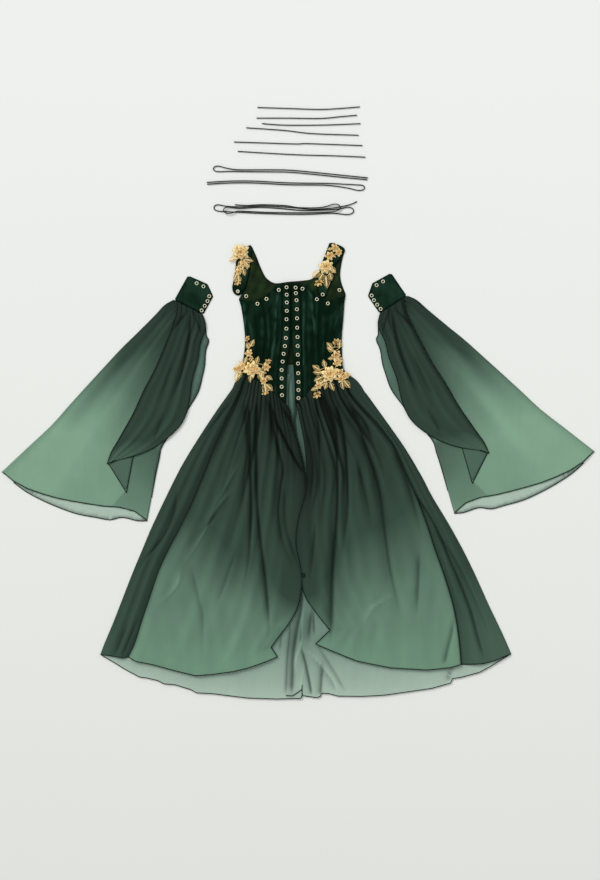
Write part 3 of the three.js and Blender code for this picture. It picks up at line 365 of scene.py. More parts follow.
OVERLAY_ROWS = [
    ((10, CUFF_Y - 1), (96, CUFF_Y - 1)), ((24, -125), (122, -118)), ((32, -180), (130, -170)),
    ((38, -245), (147, -222)), ((42, -308), (160, -285)), ((41, -380), (182, -347)),
    ((44, -455), (192, -405)), ((42, -515), (182, -455)), ((40, -560), (152, -518)),
    ((38, -595), (110, -570)), ((43, -634), (62, -610)),
]
TURNBACK_OUTLINE = [(46, -631), (137, -686), (104, -574), (84, -584)]
CUFF_SEAM = [(-3, CUFF_Y - 0.5), (96, CUFF_Y - 0.5)]

# ---- laces ---------------------------------------------------------------------------------
LACES = {
    "lace_1": [(-126, 1127), (-30, 1124), (65, 1121), (130, 1124), (191, 1129)],
    "lace_2": [(-129, 1094), (-30, 1094), (68, 1093), (125, 1098), (182, 1103)],
    "lace_3": [(-112, 1077), (-58, 1073), (-5, 1072), (94, 1073), (193, 1077)],
    "lace_4": [(-161, 1064), (-98, 1060), (-34, 1055), (46, 1046), (187, 1041)],
    "lace_5": [(-199, 1020), (-102, 1017), (-5, 1014), (32, 1015), (199, 1009)],
    "lace_6": [(-187, 991), (-88, 985), (10, 980), (120, 977), (208, 973)],
    "lace_7": [
        (216, 909), (137, 917), (41, 927), (-30, 933), (-90, 934), (-180, 934), (-215, 937.5),
        (-243, 944.5), (-256, 945), (-264, 937), (-256, 929), (-240, 928), (-215, 929), (-150, 928),
        (-90, 927.5), (-30, 926.5), (41, 920.5), (137, 910.5), (214, 903),
    ],
    "lace_8": [
        (-283, 895), (-211, 899), (-136, 899), (-28, 893.5), (84, 892), (150, 889), (185, 887),
        (199, 886), (207, 878.5), (199, 871), (182, 870.5), (150, 878), (84, 886), (-28, 887.5),
        (-136, 893), (-211, 893), (-282, 889),
    ],
}
LACE_Z = 1.6
# Length of one step along a lace, in millimetres.
CORD_STEP = 1.6
CORD_SIDES = 2  # bevel steps of a lace
CORD_EASINGS = 9  # how often the turns of a lace are eased
HANK_MIDDLE = [(-264, 815), (-205, 811), (-100, 808), (40, 804), (120, 807), (175, 807)]
# The long lace: x, distance from the hank's middle line, height.
HANK_ROUTE = [
    (182, 29, 1.6), (174, 24, 1.6), (164, 20, 1.6), (150, 16, 1.6), (125, 11, 1.6),
    (90, 8, 1.6), (40, 7.5, 1.6), (-30, 12, 1.6), (-110, 13.5, 1.6), (-170, 9, 1.6),
    (-222, 9, 1.6), (-242, 11.5, 1.6), (-255, 10.5, 1.6), (-262, 2, 1.6), (-256, -6.5, 1.6),
    (-243, -8, 1.6), (-222, -7.5, 1.6), (-170, -8.5, 1.6), (-80, -10, 1.6), (20, -8.5, 1.6),
    (100, -7, 1.6), (130, -10, 1.6), (150, -12, 1.6), (165, -9.5, 1.6), (173, -1, 1.6),
    (167, 8, 1.6), (153, 11, 1.6), (136, 7, 1.6), (110, 4, 1.6), (20, 3.5, 1.6),
    (-60, 7.5, 1.6), (-120, 9, 1.6), (-170, 4.5, 1.6), (-196, 4.5, 2.2), (-212, 6, 3.6),
    (-226, 4, 4.8), (-232, -4, 4.9), (-226, -12, 4.9), (-213, -14, 4.9), (-200, -9, 4.9),
    (-186, -4.5, 3.0), (-165, -4.5, 1.6), (-80, -5.5, 1.6), (20, -3.5, 1.6), (75, -2.5, 1.6),
    (98, -3, 2.6), (116, -2, 4.4), (129, 4, 4.9), (131, 12, 4.9), (123, 19, 4.9),
    (108, 20, 4.2), (88, 15, 2.4), (60, 12, 1.6), (0, 12, 1.6), (-40, 17, 1.6),
    (-110, 17.5, 1.6), (-160, 14, 1.6), (-196, 15, 1.6),
]


# ---- what a user may change ----------------------------------------------------------------
def size_property(label, text, value):
    return FloatProperty(name=label, description=text, default=value, min=0, unit="LENGTH", precision=4)


def colour_property(label, text, value):
    return FloatVectorProperty(
        name=label, description=text, default=linear(*value), min=0, max=1, size=3, subtype="COLOR"
    )


class DressSizes(bpy.types.PropertyGroup):
    chiffon: size_property("Chiffon", "Thickness of one chiffon layer", 0.0006)
    velvet: size_property("Velvet", "Thickness of the velvet with its lining", 0.0015)
    lining: size_property("Lining", "Thickness of the lined back of the bodice", 0.0011)
    hem: size_property("Hem thread", "Diameter of the serged edge of the chiffon", 0.0026)
    petal: size_property("Petal", "Thickness of a lace petal", 0.0005)
    thread: size_property("Lace thread", "Diameter of the threads of the gold lace", 0.0009)
    bead: size_property("Bead", "Radius of the beads in the flowers", 0.0019)
    lace: size_property("Lace", "Diameter of the lacing cords", 0.003)
    hem_sides: IntProperty(name="Hem detail", description="Bevel steps of the hems", default=1, min=0)


class DressColours(bpy.types.PropertyGroup):
    # Velvet is the colour in its folds, and pile is the painted highlight where the pile catches the light.
    velvet: colour_property("Velvet", "Velvet in its folds", (4, 25, 13))
    pile: colour_property("Pile", "Velvet where its pile catches the light", (40, 70, 55))
    lining: colour_property("Lining", "Satin lining of the back", (21, 39, 13))
    top: colour_property("Darkest dye", "Waist of the dyed chiffon", (31, 42, 36))
    dark: colour_property("Dark dye", "Top of the dyed chiffon", (38, 52, 44))
    mid: colour_property("Middle dye", "Middle of the dyed chiffon", (52, 71, 60))
    light: colour_property("Light dye", "Lower part of the dyed chiffon", (92, 120, 103))
    pale: colour_property("Pale dye", "Hem of the dyed chiffon", (108, 142, 119))
    under: colour_property("Underskirt", "Chiffon of the underskirt", (171, 191, 176))
    under_mid: colour_property("Middle underskirt", "Underskirt between its folds", (98, 126, 112))
    under_deep: colour_property("Underskirt folds", "Underskirt where it lies double", (58, 78, 69))
    sleeve: colour_property("Sleeve", "Light end of the sleeve's dye", (128, 163, 138))
    hem: colour_property("Hem thread", "Serging thread of every edge", (8, 16, 12))
    gold: colour_property("Gold", "Thread of the lace appliques", (228, 180, 96))
    gold_deep: colour_property("Deep gold", "Heart of the lace flowers", (150, 90, 34))
    gold_pale: colour_property("Pale gold", "Tips of petals and leaves", (255, 236, 178))
    bead: colour_property("Bead", "Beads in the flowers", (216, 130, 62))
    ring: colour_property("Ring", "Metal of the eyelets", (252, 247, 222))
    lace: colour_property("Lace", "Lacing cords", (9, 19, 8))
    floor: colour_property("Floor", "Seamless floor", (236, 237, 233))


def sizes():
    return bpy.context.scene.dress_sizes


def colours():
    return bpy.context.scene.dress_colours


# ---- shader groups and materials -----------------------------------------------------------
def new_group(name, inputs, outputs):
    group = bpy.data.node_groups.new(name, "ShaderNodeTree")
    for label, kind, value in inputs:
        socket = group.interface.new_socket(name=label, in_out="INPUT", socket_type=kind)
        socket.default_value = value
    for label, kind in outputs:
        group.interface.new_socket(name=label, in_out="OUTPUT", socket_type=kind)
    return group, group.nodes.new("NodeGroupInput"), group.nodes.new("NodeGroupOutput")


def add_node(tree, kind, inputs=(), **fields):
    """A node with its fields set, and its inputs linked to an output or given a value."""
    node = tree.nodes.new(kind)
    for field, value in fields.items():
        setattr(node, field, value)
    for target, source in dict(inputs).items():
        if isinstance(source, bpy.types.NodeSocket):
            tree.links.new(source, node.inputs[target])
        else:
            node.inputs[target].default_value = source
    return node


def math_node(tree, operation, a, b, c=0.0):
    return add_node(tree, "ShaderNodeMath", {0: a, 1: b, 2: c}, operation=operation).outputs[0]


def mix_colour(tree, share, a, b, blend="MIX"):
    """Two colours mixed: a Mix node has them in its sockets 6 and 7, and the result in 2."""
    inputs = {0: share, 6: a, 7: b}
    return add_node(tree, "ShaderNodeMix", inputs, data_type="RGBA", blend_type=blend).outputs[2]


def object_place(tree):
    return add_node(tree, "ShaderNodeTexCoord").outputs["Object"]


def noise(tree, place, scale, detail, **more):
    inputs = {"Vector": place, "Scale": scale, "Detail": detail, **more}
    return add_node(tree, "ShaderNodeTexNoise", inputs).outputs["Fac"]


def opaque(colour):
    return (*colour[:3], 1.0)


def weave_group():
    """Crossed threads with uneven slubs, as a height."""
    name = "Woven threads"
    if name in bpy.data.node_groups:
        return bpy.data.node_groups[name]
    group, start, end = new_group(
        name,
        [("Threads", "NodeSocketFloat", 200.0), ("Slub", "NodeSocketFloat", 30.0)],
        [("Height", "NodeSocketFloat")],
    )
    place = object_place(group)
    threads = {"Vector": place, "Scale": start.outputs["Threads"], "Distortion": 0.6}
    warp = add_node(group, "ShaderNodeTexWave", threads, bands_direction="X")
    weft = add_node(group, "ShaderNodeTexWave", threads, bands_direction="Y")
    slub = noise(group, place, start.outputs["Slub"], 3.0)
    crossed = math_node(group, "ADD", warp.outputs["Fac"], weft.outputs["Fac"])
    group.links.new(math_node(group, "MULTIPLY_ADD", crossed, 0.3, slub), end.inputs["Height"])
    return group


def crumple_group():
    """Long soft wrinkles that run down the cloth, as a height."""
    name = "Soft wrinkles"
    if name in bpy.data.node_groups:
        return bpy.data.node_groups[name]
    group, start, end = new_group(
        name,
        [("Across", "NodeSocketFloat", 26.0), ("Along", "NodeSocketFloat", 6.0)],
        [("Height", "NodeSocketFloat")],
    )
    counts = {"X": start.outputs["Across"], "Y": start.outputs["Along"]}
    stretch = add_node(group, "ShaderNodeCombineXYZ", counts).outputs[0]
    stretched = add_node(group, "ShaderNodeMapping", {"Vector": object_place(group), "Scale": stretch})
    wrinkle = noise(group, stretched.outputs[0], 1.0, 4.0, Roughness=0.5, Distortion=0.4)
    group.links.new(wrinkle, end.inputs["Height"])
    return group


def fold_shade_group():
    """Paints shade into the cloth's troughs and a highlight onto its ridges, and mottles its dye."""
    name = "Fold shade"
    if name in bpy.data.node_groups:
        return bpy.data.node_groups[name]
    group, start, end = new_group(
        name,
        [
            ("Colour", "NodeSocketColor", (0.1, 0.1, 0.1, 1)),
            ("Ridge", "NodeSocketFloat", 0.5),
            ("Depth", "NodeSocketFloat", 0.6),
            ("Mottle", "NodeSocketFloat", 0.1),
        ],
        [("Colour", "NodeSocketColor")],
    )
    # Painted shade and highlight: a value below the middle darkens the colour, one above it lightens it.
    from_middle = math_node(group, "SUBTRACT", start.outputs["Ridge"], 0.5)
    shade = math_node(group, "MULTIPLY_ADD", from_middle, start.outputs["Depth"], 1.0)
    speck = math_node(group, "SUBTRACT", noise(group, object_place(group), 14.0, 5.0), 0.5)
    mottled = math_node(group, "MULTIPLY_ADD", speck, start.outputs["Mottle"], shade)
    strength = add_node(group, "ShaderNodeCombineXYZ", {"X": mottled, "Y": mottled, "Z": mottled})
    shaded = mix_colour(group, 1.0, start.outputs["Colour"], strength.outputs[0], "MULTIPLY")
    group.links.new(shaded, end.inputs["Colour"])
    return group


def new_material(name, **shader):
    """A material whose shader has the given values, by their sockets' names."""
    material = bpy.data.materials.new(name)
    material.use_nodes = True
    bsdf = material.node_tree.nodes["Principled BSDF"]
    for label, value in shader.items():
        bsdf.inputs[label.replace("_", " ")].default_value = value
    return material, material.node_tree, bsdf


def attribute(tree, name):
    return add_node(tree, "ShaderNodeAttribute", attribute_name=name).outputs["Fac"]


def wrinkles(across, along, strength, distance):
    """A layer of relief: wrinkles, counted in a metre of the cloth's width and length."""
    return crumple_group(), {"Across": across, "Along": along}, strength, distance


def weave(threads, slub, strength, distance):
    """A layer of relief: woven threads and their slubs."""
    return weave_group(), {"Threads": threads, "Slub": slub}, strength, distance


def bump(tree, bsdf, *layers):
    """Chains layers of relief into the shader's normal."""
    last = None
    for group, values, strength, distance in layers:
        relief = add_node(tree, "ShaderNodeGroup", node_tree=group)
        for label, value in values.items():
            relief.inputs[label].default_value = value
        node = add_node(
            tree, "ShaderNodeBump",
            {"Height": relief.outputs["Height"], "Strength": strength, "Distance": distance},
        )
        if last:
            tree.links.new(last, node.inputs["Normal"])
        last = node.outputs["Normal"]
    tree.links.new(last, bsdf.inputs["Normal"])


def colour_ramp(tree, value, stops):
    ramp = add_node(tree, "ShaderNodeValToRGB", {"Fac": value})
    elements = ramp.color_ramp.elements
    while len(elements) < len(stops):
        elements.new(0.5)
    for element, (place, colour) in zip(elements, stops):
        element.position = place
        element.color = opaque(colour)
    return ramp.outputs["Color"]


# Paints the cloth's shade and highlight, held in one of its attributes, into a colour.
def shaded(tree, colour, depth, mottle):
    group = add_node(tree, "ShaderNodeGroup", node_tree=fold_shade_group())
    tree.links.new(colour, group.inputs["Colour"])
    tree.links.new(attribute(tree, "ridge"), group.inputs["Ridge"])
    group.inputs["Depth"].default_value = depth
    group.inputs["Mottle"].default_value = mottle
    return group.outputs["Colour"]


def chiffon_material(name, stops):
    """Sheer matt cloth whose dye runs down its length, with painted shade in its folds and painted highlight
    on their ridges.
    """
    material, tree, bsdf = new_material(name, Roughness=0.8, Specular_IOR_Level=0.06)
    dyed = colour_ramp(tree, attribute(tree, "dye"), stops)
    tree.links.new(shaded(tree, dyed, depth=1.35, mottle=0.16), bsdf.inputs["Base Color"])
    bump(
        tree, bsdf,
        wrinkles(26.0, 5.0, strength=0.35, distance=0.006),
        weave(190.0, 60.0, strength=0.12, distance=0.0004),
    )
    return material


def velvet_material():
    """Short pile, with painted shade in its folds and a painted highlight where the pile catches light on
    the ridges.
    """
    c = colours()
    material, tree, bsdf = new_material(
        "Velvet", Roughness=0.85, Sheen_Weight=0.12, Sheen_Roughness=0.35,
        Sheen_Tint=opaque(c.pile), Specular_IOR_Level=0.05,
    )
    place = object_place(tree)
    brushed = add_node(tree, "ShaderNodeMapping", {"Vector": place, "Scale": (60.0, 9.0, 20.0)})
    pile = math_node(tree, "MULTIPLY_ADD", noise(tree, brushed.outputs[0], 1.0, 6.0), 0.7, -1.1)
    nap = math_node(tree, "MULTIPLY_ADD", noise(tree, place, 26.0, 4.0), 0.8, pile)
    # Painted highlight: where the painted shading and the brushed noise run high, the velvet takes the
    # pile's lit colour.
    caught = math_node(tree, "MULTIPLY_ADD", attribute(tree, "ridge"), 1.1, nap)
    share = math_node(tree, "MAXIMUM", caught, 0.0)
    sheen_painted_colour = mix_colour(tree, share, opaque(c.velvet), opaque(c.pile))
    tree.links.new(sheen_painted_colour, bsdf.inputs["Base Color"])
    bump(
        tree, bsdf,
        wrinkles(60.0, 14.0, strength=0.3, distance=0.002),
        weave(260.0, 420.0, strength=0.35, distance=0.0005),
    )
    return material


def lining_material():
    """Satin lining, a little crumpled, with painted shade and highlight on its crumples."""
    c = colours()
    material, tree, bsdf = new_material("Satin lining", Roughness=0.55, Specular_IOR_Level=0.1)
    stops = [(0.0, c.velvet), (0.5, c.lining), (1.0, c.lining)]
    tone = colour_ramp(tree, attribute(tree, "dye"), stops)
    tree.links.new(shaded(tree, tone, depth=1.2, mottle=1.2), bsdf.inputs["Base Color"])
    bump(
        tree, bsdf,
        wrinkles(34.0, 30.0, strength=0.6, distance=0.006),
        weave(300.0, 90.0, strength=0.15, distance=0.0003),
    )
    return material


def thread_material(name, colour, pale, roughness, metallic=0.0, twist=75.0, gloss=0.3):
    """Twisted thread with a painted highlight on its turns and painted shade between them."""
    material, tree, bsdf = new_material(
        name, Roughness=roughness, Metallic=metallic, Specular_IOR_Level=gloss)
    turns = add_node(
        tree, "ShaderNodeTexWave",
        {"Vector": object_place(tree), "Scale": twist, "Distortion": 1.5, "Detail": 1.0},
        bands_direction="DIAGONAL",
    ).outputs["Fac"]
    # Painted highlight and shade: the raised turns take the paler colour, the grooves the darker one.
    toned = mix_colour(tree, turns, opaque(colour), opaque(pale))
    tree.links.new(toned, bsdf.inputs["Base Color"])
    relief = add_node(tree, "ShaderNodeBump", {"Height": turns, "Strength": 0.5, "Distance": 0.0004})
    tree.links.new(relief.outputs["Normal"], bsdf.inputs["Normal"])
    return material


def gold_lace_material():
    """Silky gold petals, deep at the heart and pale at the tips."""
    c = colours()
    material, tree, bsdf = new_material("Gold lace", Roughness=0.55, Sheen_Weight=0.2)
    stops = [(0.0, c.gold_deep), (0.25, c.gold), (0.62, c.gold_pale)]
    toned = colour_ramp(tree, attribute(tree, "dye"), stops)
    tree.links.new(shaded(tree, toned, depth=0.5, mottle=0.5), bsdf.inputs["Base Color"])
    bump(tree, bsdf, weave(420.0, 300.0, strength=0.7, distance=0.0006))
    return material


def bead_material():
    """Glass beads in three tones of amber."""
    c = colours()
    material, tree, bsdf = new_material("Bead", Roughness=0.25, Coat_Weight=0.4, Coat_Roughness=0.1)
    tint = noise(tree, object_place(tree), 160.0, 1.0)
    stops = [(0.35, c.gold_deep), (0.5, c.bead), (0.65, c.gold_pale)]
    tree.links.new(colour_ramp(tree, tint, stops), bsdf.inputs["Base Color"])
    return material


def ring_material():
    """Pressed metal with a worn rim."""
    c = colours()
    material, tree, bsdf = new_material("Ring metal", Metallic=0.2)
    wear = noise(tree, object_place(tree), 900.0, 3.0)
    share = math_node(tree, "MULTIPLY", wear, 0.5)
    worn = mix_colour(tree, share, opaque(c.ring), opaque(c.gold_pale))
    tree.links.new(worn, bsdf.inputs["Base Color"])
    rough = math_node(tree, "MULTIPLY_ADD", wear, 0.25, 0.2)
    tree.links.new(rough, bsdf.inputs["Roughness"])
    return material


def floor_material():
    """A pale floor with a painted light falloff, a little darker towards the hem's end, and an uneven tone.
    """
    material, tree, bsdf = new_material("Seamless floor", Roughness=0.9, Specular_IOR_Level=0.1)
    place = object_place(tree)
    split = add_node(tree, "ShaderNodeSeparateXYZ", {"Vector": place})
    reach = {"Value": split.outputs["Y"], "From Min": -1.4, "From Max": 1.3}
    down = add_node(tree, "ShaderNodeMapRange", reach)
    uneven_tone = noise(tree, place, 2.2, 3.0)
    mixed = math_node(tree, "MULTIPLY_ADD", uneven_tone, 0.06, down.outputs["Result"])
    # Painted light falloff: darker towards the hem's end and brighter towards the top.
    stops = [(0.0, linear(226, 227, 222)), (0.5, colours().floor), (1.0, linear(242, 244, 241))]
    tree.links.new(colour_ramp(tree, mixed, stops), bsdf.inputs["Base Color"])
    return material


def material(name):
    """Each finish is made once, when its first piece asks for it."""
    if name in bpy.data.materials:
        return bpy.data.materials[name]
    c = colours()
    dyes = {
        "Skirt chiffon": [(0.0, c.top), (0.12, c.dark), (0.46, c.mid), (0.68, c.light), (1.0, c.pale)],
        "Gore chiffon": [(0.0, c.dark), (0.72, c.mid), (1.0, c.light)],
        "Underskirt chiffon": [(0.0, c.under_deep), (0.4, c.under_mid), (1.0, c.under)],
        "Sleeve chiffon": [(0.0, c.dark), (0.2, c.mid), (0.5, c.light), (0.8, c.sleeve)],
    }
    if name in dyes:
        return chiffon_material(name, dyes[name])
    threads = {
        "Hem thread": (c.hem, c.dark, 0.9, 0.0, 75.0, 0.03),
        "Lacing cord": (c.lace, c.lining, 0.7, 0.0, 45.0, 0.08),
        "Gold thread": (c.gold, c.gold_pale, 0.4, 0.3),
    }
    if name in threads:
        return thread_material(name, *threads[name])
    makers = {
        "Velvet": velvet_material, "Satin lining": lining_material, "Gold lace": gold_lace_material,
        "Bead": bead_material, "Ring metal": ring_material, "Seamless floor": floor_material,
    }
    return makers[name]()


# ---- making cloth --------------------------------------------------------------------------
# The finish of each slot's cloth, and the name of the size that is its thickness.
CLOTHS = {
    "velvet": ("Velvet", "velvet"),
    "lining": ("Satin lining", "lining"),
    "chiffon_overskirt": ("Skirt chiffon", "chiffon"),
    "chiffon_underskirt": ("Underskirt chiffon", "chiffon"),
    "chiffon_gore": ("Gore chiffon", "chiffon"),
    "chiffon_sleeve": ("Sleeve chiffon", "chiffon"),
}
# Faces across and along each sheet that is laid out in rows.
GRIDS = {
    "bodice_front": (72, 150), "underskirt_front": (110, 130), "overskirt_front": (130, 150),
    "side_gore": (36, 150), "sleeve_upper": (64, 130), "sleeve_overlay": (40, 120),
}
# Spacing of the net that each cut sheet is made from, in millimetres.
SPACINGS = {
    "bodice_back": 3.5, "placket": 2.4, "strap": 3, "overskirt_back": 14, "underskirt_back": 14,
    "cuff": 3, "sleeve_under": 7, "sleeve_turnback": 4,
}
RIM_CLEARANCE = 0.3  # how near the net's points may come to the outline, as a share of the spacing
PUNCH_RADIUS = 4.6
EDGE_LIFT = 0.8  # height of a hem thread's middle over the underside of its cloth


def finish_piece(obj, finish, slot, *nodes):
    """Gives a piece its material and its body, and hides the nodes that it stands for. Its slot is not used.
    """
    obj.data.materials.append(material(finish))
    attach(obj, "root")
    if nodes:
        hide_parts(*nodes)
    return obj


def new_object(name, data):
    obj = bpy.data.objects.new(name, data)
    bpy.context.scene.collection.objects.link(obj)
    return obj


def smooth_faces(mesh):
    mesh.polygons.foreach_set("use_smooth", [True] * len(mesh.polygons))


def mesh_from(name, bm):
    mesh = bpy.data.meshes.new(name)
    bm.to_mesh(mesh)
    bm.free()
    smooth_faces(mesh)
    return mesh


def face_up(bm):
    bm.normal_update()
    if sum(face.normal.z * face.calc_area() for face in bm.faces) < 0:
        bmesh.ops.reverse_faces(bm, faces=bm.faces)


def write_values(mesh, **values):
    for name, value in values.items():
        layer = mesh.attributes.new(name, "FLOAT", "POINT")
        layer.data.foreach_set("value", np.clip(value, 0, 1).astype(np.float32))


def add_wall(obj, thickness):
    wall = obj.modifiers.new("Thickness", "SOLIDIFY")
    wall.thickness = thickness
    wall.offset = 1
    return obj


def plan(verts):
    """The x and the y of some points."""
    return np.array([vert.co[:2] for vert in verts]).T


def finish_sheet(name, slot, bm, points, dye, ridge):
    """Lays a net's points, and makes it a cloth that stands for the node of its name."""
    for vert, point in zip(bm.verts, np.column_stack(points) * MM):
        vert.co = point
    face_up(bm)
    mesh = mesh_from(name, bm)
    write_values(mesh, dye=dye, ridge=ridge)
    finish, thickness = CLOTHS[slot]
    cloth = add_wall(new_object(name + "_cloth", mesh), getattr(sizes(), thickness))
    return finish_piece(cloth, finish, slot, name)


def grid_cloth(kind, side, slot, surface):
    """A sheet laid out in rows: surface(u, v) gives x, y, z, dye and the painted shade and highlight."""
    columns, rows = GRIDS[kind]
    bm = bmesh.new()
    bm.loops.layers.uv.new("UVMap")
    bmesh.ops.create_grid(bm, x_segments=columns, y_segments=rows, size=0.5, calc_uvs=True)
    across, up = plan(bm.verts)
    *points, dye, ridge = surface(across + 0.5, 0.5 - up)
    return finish_sheet(f"{kind}_{side}", slot, bm, points, dye, ridge)


def inside(x, y, outline):
    """Which points lie within a closed outline."""
    found = np.zeros(len(x), bool)
    ax, ay = outline[-1]
    for bx, by in outline:
        crosses = (ay > y) != (by > y)
        run = (bx - ax) * (y - ay) / (by - ay if by != ay else 1) + ax
        found ^= crosses & (x < run)
        ax, ay = bx, by
    return found


def nearest_on(x, y, outline):
    """The closest point of a closed outline to each point, and how far off it is."""
    start = np.asarray(outline, float)
    run = np.roll(start, -1, 0) - start
    offset = np.column_stack([x, y])[:, None] - start
    share = np.clip((offset * run).sum(2) / np.maximum((run**2).sum(1), 1e-9), 0, 1)
    near = start + run * share[..., None]
    gap = np.hypot(x[:, None] - near[..., 0], y[:, None] - near[..., 1])
    best = gap.argmin(1)
    rows = np.arange(len(x))
    return near[rows, best], gap[rows, best]


def cut_cloth(kind, side, slot, outline, surface, holes=()):
    """A sheet cut to an outline, with punched holes: surface(x, y) gives z, dye and the painted shade and
    highlight.
    """
    spacing = SPACINGS[kind]
    low, high = np.min(outline, 0), np.max(outline, 0)
    middle, span = (low + high) / 2, high - low
    columns, rows = [max(2, math.ceil(length / spacing)) for length in span]
    bm = bmesh.new()
    bmesh.ops.create_grid(bm, x_segments=columns, y_segments=rows, size=0.5)
    bmesh.ops.scale(bm, vec=(*span, 1), verts=bm.verts)
    bmesh.ops.translate(bm, vec=(*middle, 0), verts=bm.verts)
    x, y = plan(bm.verts)
    clear = nearest_on(x, y, outline)[1] > spacing * RIM_CLEARANCE
    keep = inside(x, y, outline) & clear
    spare = [vert for vert, kept in zip(bm.verts, keep) if not kept]
    bmesh.ops.delete(bm, geom=spare, context="VERTS")
    loose = [v for v in bm.verts if v.is_boundary and sum(e.is_boundary for e in v.link_edges) != 2]
    bmesh.ops.delete(bm, geom=loose, context="VERTS")
    bmesh.ops.delete(bm, geom=[v for v in bm.verts if not v.link_faces], context="VERTS")
    rim = [vert for vert in bm.verts if vert.is_boundary]
    for vert, point in zip(rim, nearest_on(*plan(rim), outline)[0]):
        vert.co = (*point, 0)
    for hole in holes:
        punch(bm, hole)
    x, y = plan(bm.verts)
    z, dye, ridge = surface(x, y)
    name = f"{kind}_{side}" if side else kind
    return finish_sheet(name, slot, bm, (x, y, z), dye, ridge)


def punch(bm, centre):
    """Opens a round hole under an eyelet's ring."""
    middle = Vector((*centre, 0))
    cut = [f for f in bm.faces if (f.calc_center_median() - middle).xy.length < PUNCH_RADIUS]
    if not cut:
        return
    rim = {v for f in cut for v in f.verts}
    bmesh.ops.delete(bm, geom=cut, context="FACES")
    for vert in rim:
        if vert.is_valid:
            out = (vert.co - middle).xy.normalized() * PUNCH_RADIUS
            vert.co.xy = middle.xy + out


def folds_across(folds, u, v):
    """Height of the long folds, which follow a panel from its waist to its hem."""
    total = np.zeros_like(u)
    for waist, hem, height, width, start, stop in folds:
        centre = waist + (hem - waist) * v + 0.008 * np.sin(9 * v + 40 * waist)
        fade = smooth((v - start) / 0.2) * smooth((stop - v) / 0.35)
        total += height * fade * bell(u - centre, width)
    return total


def creases_at(creases, x, y):
    """Depth of the pressed creases, sharp on one flank and soft on the other."""
    total = np.zeros_like(x)
    for depth, width, fade, line in creases:
        points = through(line, np.linspace(0, 1, 30))
        order = points[:, 1].argsort()
        centre = np.interp(y, points[order, 1], points[order, 0])
        top, foot = points[:, 1].max(), points[:, 1].min()
        run = top - foot
        ends = smooth((top + 25 - y) / 60) * smooth((y - foot) / (fade * run + 10))
        offset = x - centre
        soft = bell(offset, np.where(offset > 0, width * 0.7, width * 1.5))
        total += depth * ends * (0.75 * soft + 0.5 * bell(offset, 3.2))
    return total


def round_curve(name, lines, radius, sides):
    """Round threads along lines of points in millimetres, with closed ends."""
    curve = bpy.data.curves.new(name, "CURVE")
    curve.dimensions = "3D"
    curve.bevel_depth = radius
    curve.bevel_resolution = sides
    curve.use_fill_caps = True
    for line in lines:
        points = np.column_stack([np.asarray(line) * MM, np.ones(len(line))])
        spline = curve.splines.new("POLY")
        spline.points.add(len(line) - 1)
        spline.points.foreach_set("co", points.ravel())
    return curve


def tube(name, lines, radius, sides):
    """Round threads as one mesh."""
    curve = round_curve(name + "_line", lines, radius, sides)
    holder = new_object(name + "_line", curve)
    graph = bpy.context.evaluated_depsgraph_get()
    mesh = bpy.data.meshes.new_from_object(holder.evaluated_get(graph))
    bpy.data.objects.remove(holder)
    bpy.data.curves.remove(curve)
    mesh.name = name
    smooth_faces(mesh)
    return new_object(name, mesh)


def softened(points, steps):
    """An outline with its corners softened, as a list of points."""
    return [tuple(p) for p in rounded(points, steps)]


def at_height(points, z):
    flat = np.asarray(points, float)
    return np.column_stack([flat, np.full(len(flat), float(z))])


def edge_of(surface, u, v):
    """Points of a sheet's edge, raised to where its hem thread lies."""
    x, y, z = surface(np.asarray(u, float), np.asarray(v, float))[:3]
    return np.column_stack([x, y, z + EDGE_LIFT])


# ---- the forms that the layers follow ------------------------------------------------------
def side_distance(x, y):
    """Distance from the garment's side fold, positive inside, in millimetres."""
    found = []
    for bodice, skirt in ((BODICE_SIDE_LEFT, SKIRT_LEFT), (BODICE_SIDE_RIGHT, SKIRT_RIGHT)):
        line = sorted((py, px) for px, py in bodice[:-1] + [row[0] for row in skirt])
        found.append(np.interp(y, [p[0] for p in line], [p[1] for p in line]))
    return np.where(x < 0, x - found[0], found[1] - x)


def side_floor(y):
    """Underside at the side folds, from the bodice's down to the skirt's just over the waist."""
    return BODICE_FRONT_Z + (OVERSKIRT_Z - BODICE_FRONT_Z) * smooth((WAIST_Y + 30 - y) / 24)


def bodice_floor(x, y):
    """Underside of the bodice's fronts, which rises to the plackets."""
    side = side_floor(y)
    return side + (PLACKET_Z - side) * smooth((side_distance(x, y) - 2) / CROWN_RUN)


def centre_line(y):
    """Where the slit between the skirt's fronts runs, as x."""
    return -22 + 34 * smooth((WAIST_Y - y) / 420)


def over_base(x, y):
    """Underside of the overskirt's fronts and gores, which sinks to the side folds."""
    side = UNDERSKIRT_BACK_Z - OVERSKIRT_Z
    over_folds = (UNDER_FOLD + 0.5) * bell(x - centre_line(y), 60)
    return OVERSKIRT_Z + over_folds + side * (1 - smooth(side_distance(x, y) / 9))


def column_of(table, i):
    return [row[i] for row in table]


def between(start, end, u):
    """The x and the y at share u of the way from start to end."""
    return [start[..., i] + (end[..., i] - start[..., i]) * u for i in (0, 1)]


def soft_floor(height):
    """Keeps a height above nought with a soft knee."""
    return 0.5 * (height + np.sqrt(height * height + 0.6))


